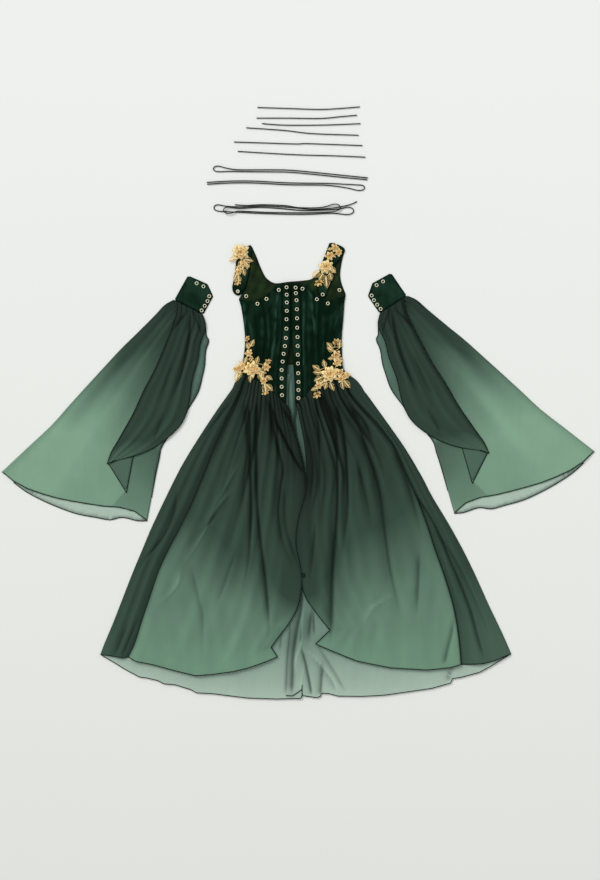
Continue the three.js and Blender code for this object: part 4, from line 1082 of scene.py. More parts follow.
# ---- bodice --------------------------------------------------------------------------------
# Where a painted highlight shows the pile catching the light: width, strength, the line.
VELVET_PILE_HIGHLIGHTS = [
    (4, 1.0, [(-171, 530), (-167, 506), (-166, 476), (-166, 440)]),
    (5, 0.35, [(-84, 560), (-91, 509), (-94, 465), (-90, 420), (-92, 350)]),
    (3, 0.8, [(-63, 556), (-69, 506), (-70, 465), (-74, 400), (-80, 374), (-82, 330)]),
    (9, 0.15, [(-76, 550), (-80, 480), (-80, 420)]),
    (3, 0.8, [(17, 530), (18, 494), (16, 450), (15, 405), (16, 358), (15, 317)]),
    (3.5, 1.2, [(30, 560), (40, 542), (42, 518), (45, 480), (49, 459), (50, 420)]),
    (12, 0.2, [(38, 520), (36, 450), (44, 360), (44, 310)]),
    (5, 0.3, [(-112, 480), (-112, 400)]),
    (3, 0.4, [(-157, 480), (-141, 418)]),
    (4, 0.35, [(124, 485), (108, 432)]),
    (7, 0.2, [(-125, 440), (-120, 340)]),
    (7, 0.2, [(95, 500), (88, 420), (70, 350)]),
    (4, 0.5, [(135, 520), (131, 450), (131, 380)]),
]


def streaks_at(streaks, x, y):
    """How much painted highlight lightens the velvet where its brushed pile catches the light, in broken
    streaks.
    """
    total = np.zeros_like(x)
    for width, strength, line in streaks:
        points = rounded(line, 6)[::-1]
        centre = np.interp(y, points[:, 1], points[:, 0])
        ends = smooth((points[-1, 1] + 8 - y) / 30) * smooth((y - points[0, 1] + 8) / 30)
        broken = 0.6 + 0.4 * np.sin(y / 11 + 3 * np.sin(y / 37 + line[0][0]))
        total += strength * ends * broken * bell(x - centre, width)
    return total


def bodice_front_surface(side_table, seam_table, basque, sags, gap, phase):
    """A velvet front, from its side fold to the placket and from its top edge to the basque."""
    def surface(u, v):
        side = through(side_table, v)
        seam = through(seam_table, v)
        x, y = between(side, seam, u)
        x = x + gap * u
        sag = np.interp(v, np.linspace(0, 1, len(sags)), sags)
        y = y + sag * np.sin(np.pi * np.clip(u / 0.86, 0, 1))
        last_row = np.clip(v * 9 - 8, 0, 1)
        y = y + (along_x(basque, x) + SEAM_GAP / 2 - y) * last_row
        inner = smooth(side_distance(x, y) / CROWN_RUN)
        width = np.abs(seam[..., 0] - side[..., 0])
        trough = np.zeros_like(u)
        for top, waist, depth, wide in BODICE_TROUGHS:
            centre = top + (waist - top) * v + 0.01 * np.sin(7 * v + phase + 9 * top)
            trough += depth * (0.35 + 0.65 * np.sin(np.pi * v)) * bell((u - centre) * width, wide)
        rumple = 0.5 * np.sin(u * 34 + 2.4 * np.sin(6 * v + phase)) * np.sin(np.pi * v)
        rumple += 0.9 * np.sin(y / 13 + 5 * u + phase) * bell(v - 0.55, 0.22) * (1 - u) ** 2
        z = bodice_floor(x, y) - trough * inner + rumple * inner
        # Painted shade in the troughs over the bones, painted highlight on the rumples and where the pile
        # catches light, and a painted shadow along the placket seam.
        ridge = VELVET_SHADING_BASE - trough * 0.1 + rumple * 0.1
        ridge = ridge + streaks_at(VELVET_PILE_HIGHLIGHTS, x, y)
        ridge = ridge - 0.5 * bell((1 - u) * width, 2.5)
        return x, y, z, np.full_like(u, 0.5), ridge
    return surface


FRONT_TOP_Y = 535  # the back is crumpled above this, where no front lies on it


def bodice_back_surface(outline):
    """The lined back: crumpled where it shows, with painted shade and highlight on its crumples, and a dark
    binding along its edge.
    """
    def surface(x, y):
        crumple = np.sin(x / 9 + y / 17) * np.sin(y / 14 - x / 23) + 0.6 * np.sin(x / 5 - y / 11)
        open_part = smooth((y - FRONT_TOP_Y) / 30)
        binding = bell(nearest_on(x, y, outline)[1], 4.2)
        z = 0.45 * (1 + crumple) * open_part
        # Painted shade and highlight follow the crumples, and the binding is darkened further.
        return z, 0.6 - 0.6 * binding, 0.5 + 0.36 * crumple * open_part - 0.3 * binding
    return surface


# Base level of the velvet's painted shading: how much of the pile's painted highlight shows on flat velvet.
VELVET_SHADING_BASE = 0.42


def flat_velvet(level, dome, outline, tone=VELVET_SHADING_BASE):
    """A velvet tab that is a little padded between its edges, with a painted highlight over its padding and
    a painted shadow along its edge.
    """
    def surface(x, y):
        gap = nearest_on(x, y, outline)[1]
        rise = smooth(gap / 7)
        nap = 0.5 + 0.5 * np.sin(y / 19 + x / 31)
        # Painted highlight over the padding and just inside the edge, and painted shadow right at the edge.
        painted_light = 0.24 * rise * nap + 0.2 * nap * bell(gap - 4, 1.4) - 0.3 * bell(gap, 2)
        return level + dome * rise, np.full_like(x, 0.5), tone + painted_light
    return surface


class DRESS_OT_bodice(bpy.types.Operator):
    """Makes the velvet fronts, the plackets, the straps and the lined back"""
    bl_idname = "dress.bodice"
    bl_label = "Bodice"

    def execute(self, context):
        right = [p for p in BODICE_SIDE_RIGHT if p[1] > WAIST_Y]
        left = [p for p in BODICE_SIDE_LEFT if p[1] > WAIST_Y]
        waist = [(WAIST_RIGHT, WAIST_Y), (WAIST_LEFT, WAIST_Y)]
        outline = softened(NECK_AND_SHOULDERS, 4) + right + waist + left[::-1] + LEFT_ARMHOLE
        cut_cloth("bodice_back", "", "lining", outline, bodice_back_surface(outline))
        fronts = {
            "left": (BODICE_SIDE_LEFT, PLACKET_SEAM_LEFT, BASQUE_LEFT, CUP_SAG["left"], -SEAM_GAP, 0.0),
            "right": (BODICE_SIDE_RIGHT, PLACKET_SEAM_RIGHT, BASQUE_RIGHT, CUP_SAG["right"], SEAM_GAP, 2.1),
        }
        for side, row in fronts.items():
            grid_cloth("bodice_front", side, "velvet", bodice_front_surface(*row))
        plackets = {
            "left": (PLACKET_SEAM_LEFT, PLACKET_EDGE_LEFT, (-55, 223), PLACKET_EYELETS_LEFT),
            "right": (PLACKET_SEAM_RIGHT, PLACKET_EDGE_RIGHT, (7, 220), PLACKET_EYELETS_RIGHT),
        }
        for side, (seam, edge, foot, holes) in plackets.items():
            outline = seam + [foot] + edge[::-1]
            shape = flat_velvet(PLACKET_Z, 0.5, outline, 0.3)
            cut_cloth("placket", side, "velvet", outline, shape, holes)
        for side, corners in (("left", STRAP_LEFT), ("right", STRAP_RIGHT)):
            outline = softened(corners, 3)
            shape = flat_velvet(BODICE_FRONT_Z, 0.8, outline)
            cut_cloth("strap", side, "velvet", outline, shape, [STRAP_EYELETS[side]])
        return {"FINISHED"}


# ---- skirt ---------------------------------------------------------------------------------
def under_hem_outline(inset, rise):
    """The lower layers' outline, drawn in from the side folds and raised at the hem."""
    left_end, right_end = SKIRT_LEFT[-1][0][0], SKIRT_RIGHT[-1][0][0]
    outline = [(WAIST_LEFT + inset, WAIST_Y - SEAM_GAP)]
    outline += [(p[0] + inset, p[1]) for p in column_of(SKIRT_LEFT, 0)[:-1]]
    hem = [p for p in UNDER_HEM_LEFT + UNDER_HEM_RIGHT if left_end + inset < p[0] < right_end - inset]
    outline += [(x, y + rise) for x, y in hem]
    outline += [(p[0] - inset, p[1]) for p in column_of(SKIRT_RIGHT, 0)[-2::-1]]
    outline.append((WAIST_RIGHT - inset, WAIST_Y - SEAM_GAP))
    return outline


PLEAT_REST = 3.0  # height of the cloth between its pleats
UNDER_TURNED_CORNER = [(-38, -695), (-18, -696), (-4, -687), (11, -677)]
# The knot of thread where the right front laps over the left one: middle and half sizes.
KNOT = (16, -322)
KNOT_REACH = (4.5, 6)


def gathers(u, v, phase, count, long=1.0):
    """Uneven pleats below the waist, each with its own place, reach and depth."""
    total = np.full_like(u, PLEAT_REST)
    for k in range(count):
        jitter = math.sin(12.9898 * (k + 1) + 7 * phase)
        place = (k + 0.5 + 0.75 * jitter) / count
        reach = long * (0.16 + 0.36 * (0.5 + 0.5 * math.sin(2.3 * k + phase)) ** 2)
        depth = 3.0 + 1.9 * math.sin(3.1 * k + phase)
        centre = place + 0.05 * v * math.sin(5.0 * k)
        offset = (u - centre) * count
        fade = np.clip(1 - v / reach, 0, 1) ** 0.7
        total += depth * fade * (0.5 * bell(offset - 0.5, 0.4) - bell(offset, 0.28 + 0.1 * jitter))
    return total


def cornered(points, t, start):
    """As through, but straight from point to point after the start-th one."""
    p = np.asarray(points, float)
    place = np.clip(t, 0, 1) * (len(p) - 1)
    straight = np.stack([np.interp(place, np.arange(len(p)), p[:, i]) for i in (0, 1)], -1)
    share = smooth((place - start) / 0.5)[..., None]
    return through(points, t) * (1 - share) + straight * share


RELIEF_SHADE = 0.045  # how much a millimetre of relief lightens or darkens the skirt


def front_surface(side, table, basque, hem, folds, creases, phase):
    """A front of the overskirt, from the gore's seam to the middle and from waist to hem."""
    left = side == "left"
    gap = SEAM_GAP / 2 if left else -SEAM_GAP / 2
    steps = len(table) - 1

    def surface(u, v):
        seam = through(column_of(table, 1), v)
        edge = cornered(column_of(table, 2), v, 9.5 if left else 8.5)
        x, y = between(seam, edge, u)
        x = x + gap * (1 - u)
        y = y + np.interp(v, np.linspace(0, 1, steps + 1), column_of(table, 3)) * hump(u)
        y = y + (along_x(basque, x) - SEAM_GAP - y) * np.clip(1 - v * steps, 0, 1)
        # Each column is drawn to the hem by as much as its own foot is off it.
        end_x, end_y = between(np.array(table[-1][1]), np.array(table[-1][2]), u)
        end_y = end_y + table[-1][3] * hump(u)
        y = y + (along_x(hem, end_x) - end_y) * smooth((v - 0.915) / 0.085)
        at_side = smooth((side_distance(x, y) - 4) / 34)
        lapped = np.zeros_like(u) if left else LAP_LIFT * smooth((90 - x) / 50) * smooth((60 - y) / 60)
        # The left front lies flat where the right one laps over it.
        free = np.ones_like(u)
        if left:
            above_or_below = np.maximum(smooth((y + 20) / 80), smooth((-430 - y) / 60))
            free = np.maximum(smooth((-22 - x) / 60), above_or_below)
        crease = creases_at(creases, x, y)
        ripple = 0.7 * np.sin(x / 8.5 + 1.6 * np.sin(y / 70 + phase)) * smooth(v * 4) * (1 - 0.6 * v)
        pleats = gathers(u, v, phase, 15)
        rolls = (1 - 0.6 * smooth((v - 0.4) / 0.45)) * folds_across(folds, u, v)
        rise = 3.2 + pleats + 0.75 * rolls + ripple - crease
        flat_edge = 1 - 0.5 * smooth((u - 0.93) / 0.07)
        own = soft_floor(rise) * at_side * free * flat_edge
        z = over_base(x, y) + lapped + own
        # The dye is darker at the waist and at the middle edge than its run down the cloth gives.
        towards_front = 0.06 * smooth(u * 1.1) * (1 - smooth((v - 0.5) / 0.3))
        towards_front += 0.07 * smooth((u - (0.5 if left else 0.3)) / 0.4) * bell(v - 0.74, 0.2)
        towards_front += 0.05 * (1 - smooth(u / 0.4)) * bell(v - 0.75, 0.15)
        dark_edge = 0.17 * bell(1 - u, 0.2) * (1 - 0.7 * smooth((v - 0.5) / 0.3))
        dye = 1.15 * v - (0.08 if left else 0.12) - towards_front - dark_edge
        dye = dye + 0.02 * np.sin(9 * u + phase)
        # Painted shade and highlight: the pleats, rolls, ripples and creases darken or lighten the colour.
        relief = 3.4 * (pleats - PLEAT_REST) + 0.4 * rolls + ripple - 1.5 * crease
        # The painted shade in the troughs is deeper near the waist, where the pleats lie tight.
        relief = relief * np.where(relief < 0, 1 + 0.45 * smooth((120 + y) / 160), 1.0)
        width = np.hypot(*(edge - seam).T)
        # Painted shadow lines along the seam to the gore and along the middle edge.
        seam_shadow = 0.35 * bell(u * width, 4)
        edge_shadow = 0.15 * bell((1 - u) * width, 6)
        return x, y, z, dye, 0.5 + RELIEF_SHADE * relief - seam_shadow - edge_shadow
    return surface


def gore_surface(side, table, basque, hem, creases, phase):
    """A side gore, from its side fold to the front's seam and from waist to hem."""
    gap = -SEAM_GAP / 2 if side == "left" else SEAM_GAP / 2
    steps = len(table) - 1

    def surface(u, v):
        fold = through(column_of(table, 0), v)
        seam = through(column_of(table, 1), v)
        x, y = between(fold, seam, u)
        x = x + gap * u
        y = y + (along_x(basque, x) - 1.5 * SEAM_GAP - y) * np.clip(1 - v * steps, 0, 1)
        end_x, end_y = between(np.array(table[-1][0]), np.array(table[-1][1]), u)
        y = y + (along_x(hem, end_x) - end_y) * smooth((v - 0.9) / 0.1)
        inner = smooth(u / 0.25) * smooth((1 - u) / 0.2)
        crease = creases_at(creases, x, y)
        rise = 1.6 + folds_across(GORE_FOLDS, u, v) * smooth(v / 0.3) + 0.5 * gathers(u, v, phase, 6)
        z = over_base(x, y) + soft_floor(rise - crease) * inner
        dye = (0.24 if side == "left" else 0.31) + 0.55 * smooth(v * 0.95) - 0.08 * u
        # Painted shade and highlight from the folds and creases, and painted shadow lines along the seam and
        # the side fold.
        relief = 0.6 * rise - 2 - 1.4 * crease
        width = np.hypot(*(seam - fold).T)
        seam_shadow = 0.3 * bell((1 - u) * width, 4)
        fold_shadow = 0.1 * bell(u * width, 6)
        return x, y, z, dye, 0.5 + RELIEF_SHADE * relief - seam_shadow - fold_shadow
    return surface


def under_front_surface(side, table, hem, phase):
    """A front of the underskirt, from the side fold to the middle, with its folds in the slit."""
    left = side == "left"
    inset = UNDER_INSET if left else -UNDER_INSET
    split = -CENTRE_SPLIT / 2 if left else CENTRE_SPLIT / 2
    hem_y = UNDER_HEM_CENTRE_Y + 4

    def surface(u, v):
        across = 1 - (1 - u) ** 1.7
        fold = through(column_of(table, 0), v)
        centre_y = UNDER_TOP_Y + (hem_y - UNDER_TOP_Y) * v
        centre_x = centre_line(centre_y) + split * (0.015 + 0.985 * smooth((v - 0.955) / 0.045))
        centre = np.stack([centre_x, centre_y], -1)
        drawn_in = inset * (1 - 0.85 * smooth((v - 0.85) / 0.15))
        x, y = between(fold + np.stack([drawn_in, 0 * drawn_in], -1), centre, across)
        y = y - 47 * v**2 * hump(across)
        y = y + (along_x(hem, x) - y) * smooth((v - 0.86) / 0.14)
        offset = x - centre_line(y)
        waves = 0.5 + 0.5 * np.cos(offset / 7 + 1.5 * np.sin(y / 160))
        crease = creases_at(UNDER_CREASES, x, y)
        folds = UNDER_FOLD * waves * bell(offset, 42) * 0.4
        edge = 1.2 * (0.5 + 0.5 * np.sin(x / 17 + phase)) * smooth((v - 0.9) / 0.1)
        z = UNDERSKIRT_FRONT_Z + soft_floor(folds - 0.5 * crease + edge * bell(offset, 90))
        near = bell(offset, 34)
        band = smooth((v - 0.8) / 0.2)
        dye = 0.5 + 0.5 * band - 0.06 * near - 0.3 * smooth((y + 330) / 200)
        # Painted shade in the creases and near the slit's middle, and painted highlight on the folds and
        # raised creases.
        return x, y, z, dye, 0.5 + 0.05 * (0.3 * folds - 0.4 * near - 1.7 * crease)
    return surface


def back_layer(level, dye):
    """A flat layer, darker towards the waist."""
    def surface(x, y):
        return np.full_like(x, level), dye - 0.85 * dye * smooth((y - 100) / 120), np.full_like(x, 0.5)
    return surface


def level_layer(level, dye):
    """A flat layer of one tone."""
    def surface(x, y):
        return np.full_like(x, level), np.full_like(y, dye), np.full_like(x, 0.5)
    return surface


def knot_line():
    """A little more than one turn of thread, laid on the overskirt."""
    x, y = KNOT
    turn = np.linspace(0.2, 2 * np.pi + 1.2, 16)
    ring = np.column_stack([x + KNOT_REACH[0] * np.cos(turn), y + KNOT_REACH[1] * np.sin(turn)])
    return at_height(ring, over_base(np.array([float(x)]), np.array([float(y)]))[0] + KNOT_LIFT)


class DRESS_OT_skirt(bpy.types.Operator):
    """Makes the dyed overskirt, its side gores, the underskirt and every hem"""
    bl_idname = "dress.skirt"
    bl_label = "Skirt"

    def execute(self, context):
        s = sizes()
        over, under = under_hem_outline(0, 12), under_hem_outline(BACK_INSET, 3)
        cut_cloth("overskirt_back", "", "chiffon_overskirt", over, back_layer(0, 0.3))
        cut_cloth("underskirt_back", "", "chiffon_underskirt", under, back_layer(UNDERSKIRT_BACK_Z, 0.9))
        sides = {
            "left": (SKIRT_LEFT, BASQUE_LEFT, OVER_HEM_LEFT, GORE_HEM_LEFT, UNDER_HEM_LEFT,
                     FOLDS_LEFT, CREASES_LEFT, GORE_CREASES_LEFT, 0.4),
            "right": (SKIRT_RIGHT, BASQUE_RIGHT, OVER_HEM_RIGHT, GORE_HEM_RIGHT, UNDER_HEM_RIGHT,
                      FOLDS_RIGHT, CREASES_RIGHT, GORE_CREASES_RIGHT, 2.6),
        }
        along = np.linspace(0, 1, 160)
        whole = np.ones_like(along)
        foot = 0.93 + 0.07 * along  # the part of the underskirt's middle edge that shows
        for side, row in sides.items():
            table, basque, hem, gore_hem, under_hem, folds, creases, gore_creases, phase = row
            lower = under_front_surface(side, table, under_hem, phase)
            grid_cloth("underskirt_front", side, "chiffon_underskirt", lower)
            front = front_surface(side, table, basque, hem, folds, creases, phase)
            grid_cloth("overskirt_front", side, "chiffon_overskirt", front)
            gore = gore_surface(side, table, basque, gore_hem, gore_creases, phase)
            grid_cloth("side_gore", side, "chiffon_gore", gore)
            lines = [
                edge_of(front, whole, along), edge_of(front, along, whole), edge_of(gore, along, whole),
                edge_of(lower, along, whole), edge_of(lower, whole, foot),
            ]
            if side == "left":
                lines += [knot_line(), at_height(UNDER_TURNED_CORNER, UNDERSKIRT_FRONT_Z + 3.5)]
            hems = tube(f"skirt_hems_{side}", lines, s.hem / 2, s.hem_sides)
            finish_piece(hems, "Hem thread", "chiffon_gore")
        return {"FINISHED"}


# ---- sleeves -------------------------------------------------------------------------------
def sleeve_place(side):
    """The sleeve's own frame in the garment's."""
    x0, y0, turn, mirror = SLEEVES[side]
    c, s = math.cos(math.radians(turn)), math.sin(math.radians(turn))

    def place(x, y):
        return x0 + c * mirror * x - s * y, y0 + s * mirror * x + c * y
    return place


def sleeve_upper_own(u, v):
    """The upper layer's plan in the sleeve's own frame."""
    x, y = between(through(SLEEVE_OUTER, v), through(SLEEVE_UPPER_INNER, v), u)
    return x, y + smooth(v - 0.1) * np.interp(u, np.linspace(0, 1, 11), UPPER_HEM_SAG)


def sleeve_upper_surface(side, phase):
    """The upper layer, from its outer edge to its inner one and from cuff to hem."""
    place = sleeve_place(side)

    def surface(u, v):
        x, y = sleeve_upper_own(u, v)
        uncovered = smooth((0.52 - u) / 0.2) * smooth(u / 0.08)
        open_part = smooth(u / 0.05) * smooth((1 - u) / 0.05)
        pleats = gathers(u, v, phase, 13, 0.4)
        ripple = 0.8 * np.sin(u * 31 + 2 * np.sin(4 * v + phase)) * np.sin(np.pi * v) * (1 - 0.6 * v)
        rise = 0.6 * pleats + folds_across(SLEEVE_FOLDS, u, v) * (1 - 0.75 * smooth((v - 0.2) / 0.4))
        z = LAYER + soft_floor((rise + ripple) * uncovered) * open_part
        dye = 1.04 * v - 0.06 + 0.06 * smooth((v - 0.45) / 0.2) + 0.03 * np.sin(13 * u + 6 * v)
        dye = dye - 0.17 * bell(u - 0.09 - 0.03 * v, 0.09) * smooth(v / 0.12) * (1 - smooth((v - 0.3) / 0.6))
        dye = dye - 0.06 * bell(v - 0.35, 0.14)
        turned = np.interp(y, [-745, -686, -574, -500], [110, 126, 94, 90])
        dye = dye - 0.36 * smooth((x - turned) / 5) * smooth((-500 - y) / 30)
        # Painted shade and highlight from the folds, pleats and ripples, and a painted shadow line along the
        # outer edge.
        line = 0.4 * bell(u, 0.014) * (1 - 0.7 * v) - 0.09 * (pleats - PLEAT_REST)
        return *place(x, y), z, dye, 0.5 + 0.05 * (rise * uncovered - 1.8 + ripple) - line
    return surface


def sleeve_under_surface(side):
    """The under layer, pale where it comes out below the upper one."""
    c, s = [f(math.radians(SLEEVES[side][2])) for f in (math.cos, math.sin)]
    x0, y0, _, mirror = SLEEVES[side]
    u = np.linspace(0, 1, 41)
    hem_x, hem_y = sleeve_upper_own(u, np.ones_like(u))

    def surface(x, y):
        own_x = (c * (x - x0) + s * (y - y0)) * mirror
        own_y = -s * (x - x0) + c * (y - y0)
        below = np.interp(own_x, hem_x, hem_y) - own_y
        wave = 0.5 + 0.5 * np.sin(own_y / 16 + own_x / 40)
        inner = smooth((own_x - 120) / 40) * smooth((own_y + 700) / 60)
        z = 0.5 * wave * inner
        # Painted shade and highlight on the waves of the inner part.
        return z, 0.24 + 0.76 * smooth((below + 3) / 5), 0.5 + 0.1 * (wave - 0.5) * inner
    return surface


def overlay_surface(side, phase):
    """The dark overlay, from its fold to its free edge and from cuff to tip."""
    place = sleeve_place(side)
    folds, edges = column_of(OVERLAY_ROWS, 0), column_of(OVERLAY_ROWS, 1)

    def surface(u, v):
        x, y = between(through(folds, v), through(edges, v), u)
        over_upper = 2.6 * smooth((0.5 - u) / 0.5) * smooth((0.75 - v) / 0.4)
        inner = smooth(u / 0.1) * smooth((1 - u) / 0.1)
        pleats = gathers(u, v, phase + 2, 11, 0.45) + 0.6 * (gathers(u, v, phase, 5, 1.3) - PLEAT_REST)
        rise = 0.7 * folds_across(OVERLAY_FOLDS, u, v)
        ripple = 0.6 * np.sin(u * 24 + 3 * np.sin(3 * v + phase))
        crease = creases_at(OVERLAY_CREASES, x, y)
        own = soft_floor(rise + 0.6 * pleats + ripple - 0.4 * crease) * inner
        dye = 0.04 + 0.8 * v - 0.12 * bell(u, 0.12) + 0.08 * bell(v - 0.85, 0.2)
        # Painted shade and highlight from the folds, pleats, ripples and creases, and a painted shadow along
        # the fold edge.
        relief = 0.04 * (rise - 1.6 + ripple) + 0.09 * (pleats - PLEAT_REST) - 0.055 * crease
        return *place(x, y), TURNBACK_Z + LAYER + over_upper + own, dye, 0.5 + relief - 0.25 * bell(u, 0.05)
    return surface


def placed(side, points):
    """Points of the sleeve's own frame, in the garment's."""
    place = sleeve_place(side)
    return [place(x, y) for x, y in points]


class DRESS_OT_sleeves(bpy.types.Operator):
    """Makes both trumpet sleeves with their velvet cuffs"""
    bl_idname = "dress.sleeves"
    bl_label = "Sleeves"

    def execute(self, context):
        s = sizes()
        along = np.linspace(0, 1, 120)
        none, whole = np.zeros_like(along), np.ones_like(along)
        hem, inner = softened(SLEEVE_UNDER_HEM, 3), softened(SLEEVE_UNDER_INNER, 3)
        for side, phase in (("left", 0.3), ("right", 1.7)):
            outline = placed(side, CUFF_OUTLINE)
            cut_cloth("cuff", side, "velvet", outline, flat_velvet(0, 0.6, outline, 0.5))
            outline = placed(side, softened(SLEEVE_OUTER, 2) + hem + inner)
            cut_cloth("sleeve_under", side, "chiffon_underskirt", outline, sleeve_under_surface(side))
            upper = sleeve_upper_surface(side, phase)
            grid_cloth("sleeve_upper", side, "chiffon_sleeve", upper)
            outline = placed(side, TURNBACK_OUTLINE)
            cut_cloth("sleeve_turnback", side, "chiffon_gore", outline, level_layer(TURNBACK_Z, 0.88))
            overlay = overlay_surface(side, phase)
            grid_cloth("sleeve_overlay", side, "chiffon_gore", overlay)
            lines = [
                at_height(placed(side, hem), LAYER), at_height(placed(side, inner), LAYER),
                at_height(placed(side, CUFF_SEAM), 1),
                edge_of(upper, along, whole), edge_of(overlay, whole, along),
                edge_of(overlay, none, along), edge_of(overlay, along, whole),
                at_height(placed(side, TURNBACK_OUTLINE[:2]), TURNBACK_Z + 0.4),
                at_height(placed(side, TURNBACK_OUTLINE[2:0:-1]), TURNBACK_Z + 0.4),
            ]
            hems = tube(f"sleeve_hems_{side}", lines, s.hem / 2, s.hem_sides)
            finish_piece(hems, "Hem thread", "chiffon_gore")
        return {"FINISHED"}


# ---- eyelets -------------------------------------------------------------------------------
# How far each kind of ring stands over its cloth, to clear the padding below it.
RING_LIFTS = {"placket": 0.4, "cuff": 0.4, "back": 0.3, "strap": 0.5}


def ring_group(name, centres):
    """Pressed rings at (x, y, z) centres, as one piece."""
    bm = bmesh.new()
    for x, y, z in centres:
        sections = []
        for i in range(RING_STEPS):
            c, s = math.cos(2 * math.pi * i / RING_STEPS), math.sin(2 * math.pi * i / RING_STEPS)
            sections.append([
                bm.verts.new(Vector((x + r * c, y + r * s, z + h)) * MM) for r, h in RING_SECTION
            ])
        for i, here in enumerate(sections):
            before = sections[i - 1]
            for k in range(len(here)):
                bm.faces.new((before[k - 1], before[k], here[k], here[k - 1]))
    bmesh.ops.recalc_face_normals(bm, faces=bm.faces)
    return finish_piece(new_object(name, mesh_from(name, bm)), "Ring metal", "eyelet")


class DRESS_OT_eyelets(bpy.types.Operator):
    """Presses a metal ring round every lacing hole"""
    bl_idname = "dress.eyelets"
    bl_label = "Eyelets"

    def execute(self, context):
        velvet, lining = sizes().velvet / MM, sizes().lining / MM
        for side, holes in (("left", PLACKET_EYELETS_LEFT), ("right", PLACKET_EYELETS_RIGHT)):
            level = PLACKET_Z + velvet + RING_LIFTS["placket"]
            ring_group(f"eyelets_placket_{side}", [(x, y, level) for x, y in holes])
        for side, holes in (("left", FRONT_EYELETS_LEFT), ("right", FRONT_EYELETS_RIGHT)):
            floors = bodice_floor(*np.array(holes, float).T)
            ring_group(f"eyelets_front_{side}", [(x, y, z + velvet) for (x, y), z in zip(holes, floors)])
            level = velvet + RING_LIFTS["cuff"]
            ring_group(f"eyelets_cuff_{side}", [(x, y, level) for x, y in placed(side, CUFF_EYELETS)])
        ring_group("eyelets_back", [(x, y, lining + RING_LIFTS["back"]) for x, y in BACK_EYELETS])
        for side, hole in STRAP_EYELETS.items():
            level = BODICE_FRONT_Z + velvet + RING_LIFTS["strap"]
            ring_group(f"eyelets_strap_{side}", [(*hole, level)])
        return {"FINISHED"}


# ---- appliques -----------------------------------------------------------------------------
# What each one carries: kind, place, size and the direction that it points in, in degrees.
APPLIQUES = {
    "strap_left": [
        ("leaf", -166, 656, 28, -12), ("leaf", -188, 664, 30, 208), ("rose", -178, 678, 27, 0),
        ("leaf", -166, 650, 24, -48), ("leaf", -176, 652, 26, -100), ("small", -171, 641, 13, 20),
        ("leaf", -160, 642, 18, -78), ("leaf", -184, 636, 22, -120), ("small", -184, 618, 12, 0),
        ("leaf", -172, 628, 24, -72), ("leaf", -190, 612, 24, -112), ("leaf", -184, 606, 24, -88),
        ("sprig", -186, 602, 24, -95),
    ],
    "strap_right": [
        ("small", 113, 692, 13, 10), ("leaf", 104, 690, 14, 200), ("small", 125, 678, 13, 30),
        ("small", 97, 667, 15, 0), ("leaf", 104, 672, 16, -40), ("leaf", 66, 620, 32, 222),
        ("leaf", 102, 632, 24, -52), ("rose", 87, 633, 23, 0), ("leaf", 98, 614, 24, -76),
        ("leaf", 86, 602, 36, -84), ("leaf", 76, 612, 24, -118), ("sprig", 68, 600, 26, -105),
        ("leaf", 100, 622, 18, -20),
    ],
    "hip_left": [
        ("sprig", -156, 398, 18, 100), ("leaf", -148, 386, 24, 60), ("leaf", -153, 378, 20, 110),
        ("small", -153, 365, 13, 0), ("sprig", -152, 358, 18, -60), ("leaf", -160, 352, 20, -110),
        ("leaf", -166, 330, 20, 150), ("rose", -143, 316, 26, 0), ("small", -186, 317, 16, 0),
        ("small", -174, 325, 11, 0), ("leaf", -186, 304, 30, -105), ("leaf", -176, 306, 22, -120),
        ("leaf", -146, 298, 24, -95), ("leaf", -130, 334, 22, 70), ("small", -99, 322, 13, 0),
        ("sprig", -98, 326, 20, 70), ("leaf", -124, 312, 28, -20), ("leaf", -122, 304, 30, -60),
        ("leaf", -112, 306, 24, -95), ("small", -107, 280, 12, 0), ("leaf", -98, 294, 22, -30),
        ("leaf", -104, 270, 32, -80), ("leaf", -98, 268, 28, -45), ("sprig", -100, 262, 24, -95),
    ],
    "hip_right": [
        ("leaf", 104, 380, 24, 130), ("sprig", 112, 384, 26, 65), ("leaf", 128, 382, 22, 85),
        ("leaf", 110, 372, 24, 155), ("small", 118, 359, 16, 0), ("small", 121, 337, 15, 20),
        ("leaf", 108, 350, 16, 190), ("leaf", 124, 346, 14, 20), ("rose", 99, 300, 28, 0),
        ("leaf", 84, 322, 24, 105), ("leaf", 66, 314, 26, 150), ("leaf", 72, 304, 26, 175),
        ("leaf", 74, 290, 28, 205), ("leaf", 80, 280, 26, 225), ("small", 63, 266, 13, 0),
        ("leaf", 58, 258, 20, 205), ("sprig", 60, 254, 26, -95), ("leaf", 88, 274, 22, -105),
        ("leaf", 100, 272, 26, -65), ("small", 130, 305, 13, 0), ("small", 150, 297, 12, 0),
        ("small", 132, 286, 13, 0), ("leaf", 142, 280, 30, -50), ("leaf", 136, 276, 24, -80),
    ],
}
# Rings of petals: how many, length and width as shares of the size, tilt, lift in millimetres.
ROSE_RINGS = [
    (9, 1.0, 0.52, 10, 0.6), (8, 0.8, 0.48, 22, 1.4), (6, 0.56, 0.42, 38, 2.2),
    (5, 0.34, 0.32, 56, 2.8),
]
SMALL_RINGS = [(6, 1.0, 0.6, 14, 0.4), (6, 0.62, 0.44, 36, 1.2)]
FLOWERS = {"rose": ROSE_RINGS, "small": SMALL_RINGS}
# A leaf's half width along its length, both as shares of the length.
LEAF_RIM = [(-0.04, 0), (0.1, 0.16), (0.3, 0.29), (0.5, 0.3), (0.68, 0.21), (0.86, 0.09), (1, 0)]


def leaf_half(share, least=0):
    """Half of a leaf's width at a share of its length, as a share of that length."""
    return np.interp(share, [a for a, _ in LEAF_RIM], [max(w, least) for _, w in LEAF_RIM])


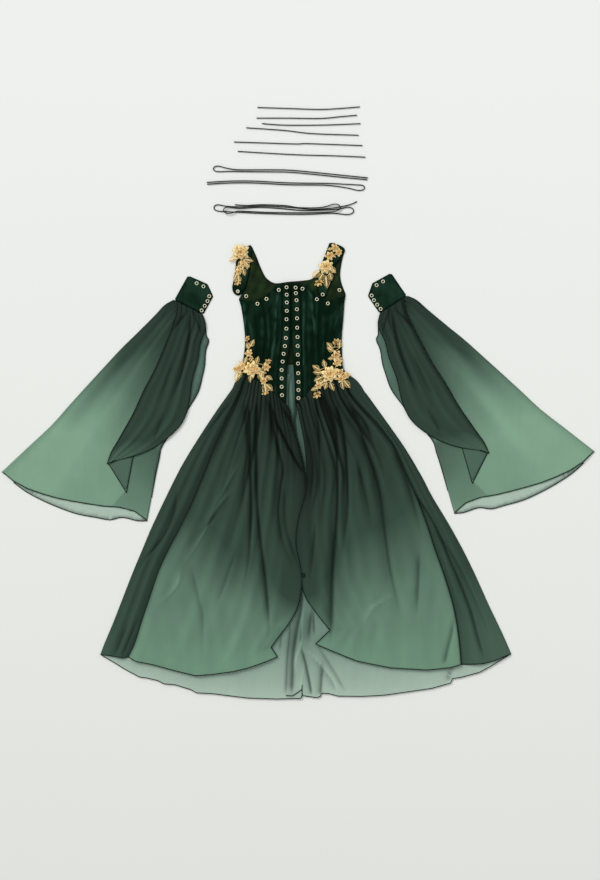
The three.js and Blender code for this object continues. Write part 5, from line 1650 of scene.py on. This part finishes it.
class Applique:
    """Collects one applique's petals, nets, threads and beads in the garment's frame."""

    def __init__(self, surface):
        self.surface = surface
        self.petals = bmesh.new()
        self.tone = self.petals.verts.layers.float.new("dye")
        self.nets = bmesh.new()
        self.threads = []
        self.beads = []

    def lay(self, points, at, turn):
        """Own points, turned and moved, then lifted onto the cloth."""
        p = np.asarray(points, float)
        c, s = math.cos(math.radians(turn)), math.sin(math.radians(turn))
        x = at[0] + c * p[:, 0] - s * p[:, 1]
        y = at[1] + s * p[:, 0] + c * p[:, 1]
        return np.column_stack([x, y, p[:, 2] + self.surface(x, y)])

    def blade(self, target, columns, rows, shape, at, turn, tone=None):
        """A small grid whose points shape(u, v) places in the motif's own frame."""
        made = bmesh.ops.create_grid(target, x_segments=columns, y_segments=rows, size=0.5)["verts"]
        flat = np.array([vert.co[:2] for vert in made])
        u, v = flat[:, 0] + 0.5, flat[:, 1] + 0.5
        for vert, point in zip(made, self.lay(shape(u, v), at, turn)):
            vert.co = point * MM
        if tone is not None:
            for vert, value in zip(made, np.clip(tone(u, v), 0, 1)):
                vert[self.tone] = value

    def petal(self, length, width, tilt, lift, at, turn, wave=0.0):
        """A cupped petal with a ruffled rim of thread."""
        rise = math.sin(math.radians(tilt))
        run = math.cos(math.radians(tilt))

        def shape(u, v):
            across = (u - 0.5) * width * np.sin(np.pi * np.clip(0.16 + 0.76 * v, 0, 1)) ** 0.5
            reach = length * (v - 0.12 * (2 * u - 1) ** 2 * v)
            cup = 0.9 * (2 * u - 1) ** 2 * np.sin(np.pi * v) * width / 12
            curl = rise * reach - 1.5 * rise * length * smooth((v - 0.7) / 0.6)
            ruffle = 0.5 * np.sin(9 * u + wave) * v
            return np.column_stack([reach * run, across, lift + curl + cup + ruffle])

        def tone(u, v):
            return v**2.8 + 0.35 * (2 * u - 1) ** 2 * v + 0.24 * np.sin(2.4 * wave + 5 * v)
        self.blade(self.petals, 5, 6, shape, at, turn, tone)
        t = np.linspace(0, 1, 9)
        rim = np.vstack([
            shape(np.zeros(9), t), shape(t[1:], np.ones(8)), shape(np.ones(8), t[::-1][1:]),
        ])
        self.threads.append(self.lay(rim + (0, 0, 0.4), at, turn))

    def rose(self, at, size, turn, rings):
        """An open flower: rings of petals round a heart of beads."""
        for i, (count, long, wide, tilt, lift) in enumerate(rings):
            for k in range(count):
                angle = turn + 360 * (k + 0.5 * (i % 2)) / count + 7 * math.sin(5 * k + i)
                length = size * long * (1 + 0.12 * math.sin(3.7 * k + 2 * i + at[0]))
                self.petal(length, size * wide, tilt, lift, at, angle, k)
        count = 9 if len(rings) > 2 else 4
        for k in range(count):
            spread = size * 0.13 * math.sqrt(k) / 1.5
            angle = 2.4 * k
            point = (spread * math.cos(angle), spread * math.sin(angle), 3.0 + 0.12 * size - 0.25 * spread)
            self.beads.append(self.lay([point], at, 0)[0])

    def leaf(self, at, size, turn):
        """An openwork leaf: rim, rib and veins of thread with a net between them."""
        fold = 0.09 * size
        upper = rounded([(a * size, w * size) for a, w in LEAF_RIM], 3)

        def lifted(points):
            p = np.asarray(points, float)
            half = leaf_half(p[:, 0] / size, 0.02) * size
            return np.column_stack([p, 0.5 + fold * (1 - np.clip(np.abs(p[:, 1]) / half, 0, 1)) ** 2])
        for sign in (1, -1):
            self.threads.append(self.lay(lifted(upper * (1, sign)), at, turn))
            for start in (0.12, 0.3, 0.48, 0.66):
                tip = start + 0.2
                reach = 0.9 * leaf_half(tip)
                vein = [(start, 0), (start + 0.11, reach * 0.6), (tip, reach)]
                self.threads.append(self.lay(lifted(rounded(vein, 3) * (size, size * sign)), at, turn))
        rib = [(-0.12 * size, 0), (0.3 * size, 0), (size, 0)]
        self.threads.append(self.lay(lifted(rib), at, turn))

        def shape(u, v):
            half = leaf_half(v) * size
            return lifted(np.column_stack([v * size * 0.97, (2 * u - 1) * half]))
        self.blade(self.nets, 5, 8, shape, at, turn)

        def midrib(u, v):
            return lifted(np.column_stack([v * size * 0.8, (2 * u - 1) * 0.07 * size])) + (0, 0, 0.3)
        self.blade(self.petals, 2, 6, midrib, at, turn, lambda u, v: 0.55 + 0.4 * v)

    def sprig(self, at, size, turn):
        """A twig with a bud on each branch."""
        stem = rounded([(-0.1, 0), (0.35, 0.05), (0.7, -0.03), (1, 0)], 4) * size
        self.threads.append(self.lay(np.column_stack([stem, np.full(len(stem), 0.9)]), at, turn))
        for start, side in ((0.2, 1), (0.35, -1), (0.55, 1), (0.72, -1)):
            root = np.array([start * size, 0])
            tip = root + np.array([0.24, 0.3 * side]) * size
            line = rounded([tuple(root), tuple((root + tip) / 2 + (0.03 * size, 0)), tuple(tip)], 3)
            self.threads.append(self.lay(np.column_stack([line, np.full(len(line), 0.9)]), at, turn))
            angle = turn + math.degrees(math.atan2(0.3 * side, 0.24))
            base = self.lay([(*((root + tip) / 2), 0)], at, turn)[0][:2]
            self.petal(0.34 * size, 0.2 * size, 8, 0.7, base, angle, start)
        self.petal(0.4 * size, 0.24 * size, 8, 0.8, self.lay([(0.72 * size, 0, 0)], at, turn)[0][:2], turn)

    def stem(self, start, end):
        """A thread bar from one motif to the next."""
        bend = (end - start)[::-1] * (-0.08, 0.08)
        line = rounded([tuple(start), tuple((start + end) / 2 + bend), tuple(end)], 4)
        for shift in (-0.6, 0.6):
            moved = line + (shift, shift)
            level = self.surface(moved[:, 0], moved[:, 1]) + 0.6
            self.threads.append(np.column_stack([moved, level]))

    def finish(self, name):
        """Makes the applique's four pieces: petals, net, threads and beads."""
        s = sizes()
        mesh = mesh_from(name, self.petals)
        write_values(mesh, ridge=np.full(len(mesh.vertices), 0.5))
        petals = add_wall(new_object(name + "_petals", mesh), s.petal)
        finish_piece(petals, "Gold lace", "gold_lace", name)
        nets = new_object(name + "_net", mesh_from(name + "_net", self.nets))
        wires = nets.modifiers.new("Net", "WIREFRAME")
        wires.thickness = s.thread * 0.45
        wires.use_even_offset = False
        finish_piece(nets, "Gold thread", "gold_lace")
        finish_piece(tube(name + "_threads", self.threads, s.thread / 2, 0), "Gold thread", "gold_lace")
        bm = bmesh.new()
        for point in self.beads:
            place = Matrix.Translation(Vector(point) * MM)
            bmesh.ops.create_icosphere(bm, subdivisions=2, radius=s.bead, matrix=place)
        finish_piece(new_object(name + "_beads", mesh_from(name + "_beads", bm)), "Bead", "gold_lace")


def strap_top(x, y):
    """Top of a strap under its applique, which is level."""
    return np.full_like(x, BODICE_FRONT_Z + 2.6)


def hip_top(x, y):
    """Top of the cloth under an applique on a hip."""
    side = side_floor(y)
    rise = BODICE_FRONT_Z + BODICE_CROWN + 1 - side
    return side + 2.2 + rise * smooth((side_distance(x, y) + 2) / CROWN_RUN)


class DRESS_OT_appliques(bpy.types.Operator):
    """Makes the four gold lace appliques"""
    bl_idname = "dress.appliques"
    bl_label = "Appliques"

    def execute(self, context):
        for place, motifs in APPLIQUES.items():
            work = Applique(strap_top if place.startswith("strap") else hip_top)
            before = None
            for kind, x, y, size, turn in motifs:
                at = np.array([x, y], float)
                if kind in FLOWERS:
                    work.rose(at, size, turn, FLOWERS[kind])
                elif kind == "leaf":
                    work.leaf(at, size, turn)
                else:
                    work.sprig(at, size, turn)
                if before is not None:
                    work.stem(before, at)
                before = at
            work.finish(f"applique_{place}")
        return {"FINISHED"}


# ---- laces ---------------------------------------------------------------------------------
def relaxed(line):
    """The line in even steps, with its tightest turns eased and its ends kept."""
    run = np.concatenate([[0], np.cumsum(np.linalg.norm(np.diff(line, axis=0), axis=1))])
    steps = np.linspace(0, run[-1], int(run[-1] / CORD_STEP))
    eased = np.stack([np.interp(steps, run, line[:, i]) for i in range(3)], -1)
    for _ in range(CORD_EASINGS):
        eased[1:-1] = (eased[:-2] + 2 * eased[1:-1] + eased[2:]) / 4
    return eased


def lay_cord(name, points, *nodes):
    """A limp round cord with both ends free, on one smooth line."""
    line = relaxed(rounded(points, 8))
    curve = round_curve(name, [line], sizes().lace / 2, CORD_SIDES)
    cord = finish_piece(new_object(name + "_cord", curve), "Lacing cord", "lacing_cord", *nodes)
    return cord


class DRESS_OT_laces(bpy.types.Operator):
    """Lays the eight loose laces and the long one in its hank"""
    bl_idname = "dress.laces"
    bl_label = "Laces"

    def execute(self, context):
        for name, route in LACES.items():
            lay_cord(name, at_height(route, LACE_Z), name)
        middle = rounded(HANK_MIDDLE, 6)
        route = [(x, y + float(np.interp(x, middle[:, 0], middle[:, 1])), z) for x, y, z in HANK_ROUTE]
        lay_cord("lace_9", route, "lace_9_tail", "lace_9_hank")
        return {"FINISHED"}


# ---- the cut of each sheet -----------------------------------------------------------------
# Flat width and length in metres, flat area, how it is held, what it lies on, what is sewn on it.
SHEETS = {
    "bodice_back": (0.34, 0.39, 0.091, "laid", ["Floor"], ["eyelets_back"]),
    "bodice_front_left": (0.15, 0.36, 0.034, "laid", ["bodice_back_cloth"], ["eyelets_front_left"]),
    "bodice_front_right": (0.16, 0.36, 0.038, "laid", ["bodice_back_cloth"], ["eyelets_front_right"]),
    "placket_{}": (0.04, 0.375, 0.009, "laid", ["bodice_back_cloth"], ["eyelets_placket_{}"]),
    "strap_{}": (0.05, 0.18, 0.0067, "laid", ["bodice_back_cloth"], ["eyelets_strap_{}"]),
    "overskirt_back": (1.28, 1.03, 0.9, "laid", ["Floor"], []),
    "underskirt_back": (1.24, 1.04, 0.88, "laid", ["overskirt_back_cloth"], []),
    "underskirt_front_left": (0.66, 1.01, 0.45, "laid", ["underskirt_back_cloth"], []),
    "underskirt_front_right": (0.7, 1.01, 0.46, "laid", ["underskirt_back_cloth"], []),
    "overskirt_front_left": (
        0.62, 0.95, 0.4, "gathered", ["underskirt_front_left_cloth"], ["skirt_hems_left"]),
    "overskirt_front_right": (
        0.58, 0.93, 0.39, "gathered", ["underskirt_front_right_cloth"], ["skirt_hems_right"]),
    "side_gore_left": (0.14, 0.98, 0.075, "laid", ["underskirt_front_left_cloth"], []),
    "side_gore_right": (0.18, 1.05, 0.078, "laid", ["underskirt_front_right_cloth"], []),
    "cuff_{}": (0.102, 0.091, 0.0083, "laid", ["Floor"], ["eyelets_cuff_{}"]),
    "sleeve_under_{}": (0.48, 0.75, 0.23, "laid", ["Floor"], []),
    "sleeve_upper_{}": (0.5, 0.75, 0.215, "gathered", ["sleeve_under_{}_cloth"], ["sleeve_hems_{}"]),
    "sleeve_turnback_{}": (0.092, 0.112, 0.0045, "folded", ["sleeve_upper_{}_cloth"], []),
    "sleeve_overlay_{}": (0.22, 0.58, 0.075, "gathered", ["sleeve_upper_{}_cloth"], []),
}
LACE_PARTS = ("petals", "net", "threads", "beads")
APPLIQUE_GROUNDS = {
    "strap_left": "strap_left", "strap_right": "strap_right",
    "overskirt_front_left": "hip_left", "overskirt_front_right": "hip_right",
}


def declare_sheets():
    """Works out each sheet's name and the names of the pieces sewn on it, and does nothing more with them.
    """
    for pattern, (width, length, area, held, below, sewn) in SHEETS.items():
        for side in ("left", "right") if "{}" in pattern else ("",):
            name = pattern.format(side)
            pieces = [other.format(side) for other in sewn]
            if name in APPLIQUE_GROUNDS:
                pieces += [f"applique_{APPLIQUE_GROUNDS[name]}_{part}" for part in LACE_PARTS]


# ---- stage ---------------------------------------------------------------------------------
VIEW_CENTRE = (0.0057, 0.0963)
VIEW_HEIGHT = 2.728  # metres of floor from the top to the bottom of the view
LENS = 85.0
SENSOR = 36.0
SKY_COLOUR = (0.97, 0.99, 1.0, 1)
SKY_STRENGTH = 0.62
SUN_COLOUR = (1.0, 0.985, 0.96)
SUN_STRENGTH = 1.9
SUN_SPREAD = 28  # degrees, which softens the shadows
SUN_FROM = (-0.55, 0.62, 0.62)
FLOOR_HALF = 6  # metres from the middle of the floor to its edge
FLOOR_DROP = 0.0004


class DRESS_OT_stage(bpy.types.Operator):
    """Sets the camera over the floor, the soft light and the pale floor"""
    bl_idname = "dress.stage"
    bl_label = "Stage"

    def execute(self, context):
        scene = context.scene
        scene.view_settings.view_transform = "Standard"
        lens = bpy.data.cameras.new("Overhead")
        lens.lens = LENS
        lens.sensor_width = SENSOR
        lens.clip_end = 100
        camera = new_object("Overhead", lens)
        camera.location = (*VIEW_CENTRE, VIEW_HEIGHT * LENS / SENSOR)
        scene.camera = camera

        world = bpy.data.worlds.new("Studio")
        world.use_nodes = True
        background = world.node_tree.nodes["Background"]
        background.inputs["Color"].default_value = SKY_COLOUR
        background.inputs["Strength"].default_value = SKY_STRENGTH
        scene.world = world
        key = bpy.data.lights.new("Window", "SUN")
        key.energy = SUN_STRENGTH
        key.angle = math.radians(SUN_SPREAD)
        key.color = SUN_COLOUR
        lamp = new_object("Window", key)
        lamp.rotation_euler = Vector(SUN_FROM).to_track_quat("Z", "Y").to_euler()

        bm = bmesh.new()
        bmesh.ops.create_grid(bm, x_segments=8, y_segments=8, size=FLOOR_HALF)
        bmesh.ops.translate(bm, vec=(0, 0, -FLOOR_DROP), verts=bm.verts)
        ground = new_object("Floor", mesh_from("Floor", bm))
        ground.data.materials.append(material("Seamless floor"))
        return {"FINISHED"}


# ---- panel and run -------------------------------------------------------------------------
class DRESS_PT_panel(bpy.types.Panel):
    """Lists the dress's steps and what a user may change"""
    bl_label = "Laced dress"
    bl_idname = "DRESS_PT_panel"
    bl_space_type = "VIEW_3D"
    bl_region_type = "UI"
    bl_category = "Dress"

    def draw(self, context):
        layout = self.layout
        for step in STEPS:
            layout.operator(step.bl_idname)
        for group in (context.scene.dress_sizes, context.scene.dress_colours):
            box = layout.box()
            for name in group.__annotations__:
                box.prop(group, name)


STEPS = (
    DRESS_OT_stage, DRESS_OT_laces, DRESS_OT_bodice, DRESS_OT_skirt, DRESS_OT_sleeves,
    DRESS_OT_eyelets, DRESS_OT_appliques,
)
CLASSES = (DressSizes, DressColours, *STEPS, DRESS_PT_panel)


def register():
    for cls in CLASSES:
        bpy.utils.register_class(cls)
    bpy.types.Scene.dress_sizes = PointerProperty(type=DressSizes)
    bpy.types.Scene.dress_colours = PointerProperty(type=DressColours)


def unregister():
    del bpy.types.Scene.dress_colours
    del bpy.types.Scene.dress_sizes
    for cls in reversed(CLASSES):
        bpy.utils.unregister_class(cls)


def main():
    register()
    bpy.ops.dress.stage()
    bpy.ops.dress.laces()
    bpy.ops.dress.bodice()
    bpy.ops.dress.skirt()
    bpy.ops.dress.sleeves()
    bpy.ops.dress.eyelets()
    bpy.ops.dress.appliques()
    declare_sheets()


if __name__ == "__main__":
    main()
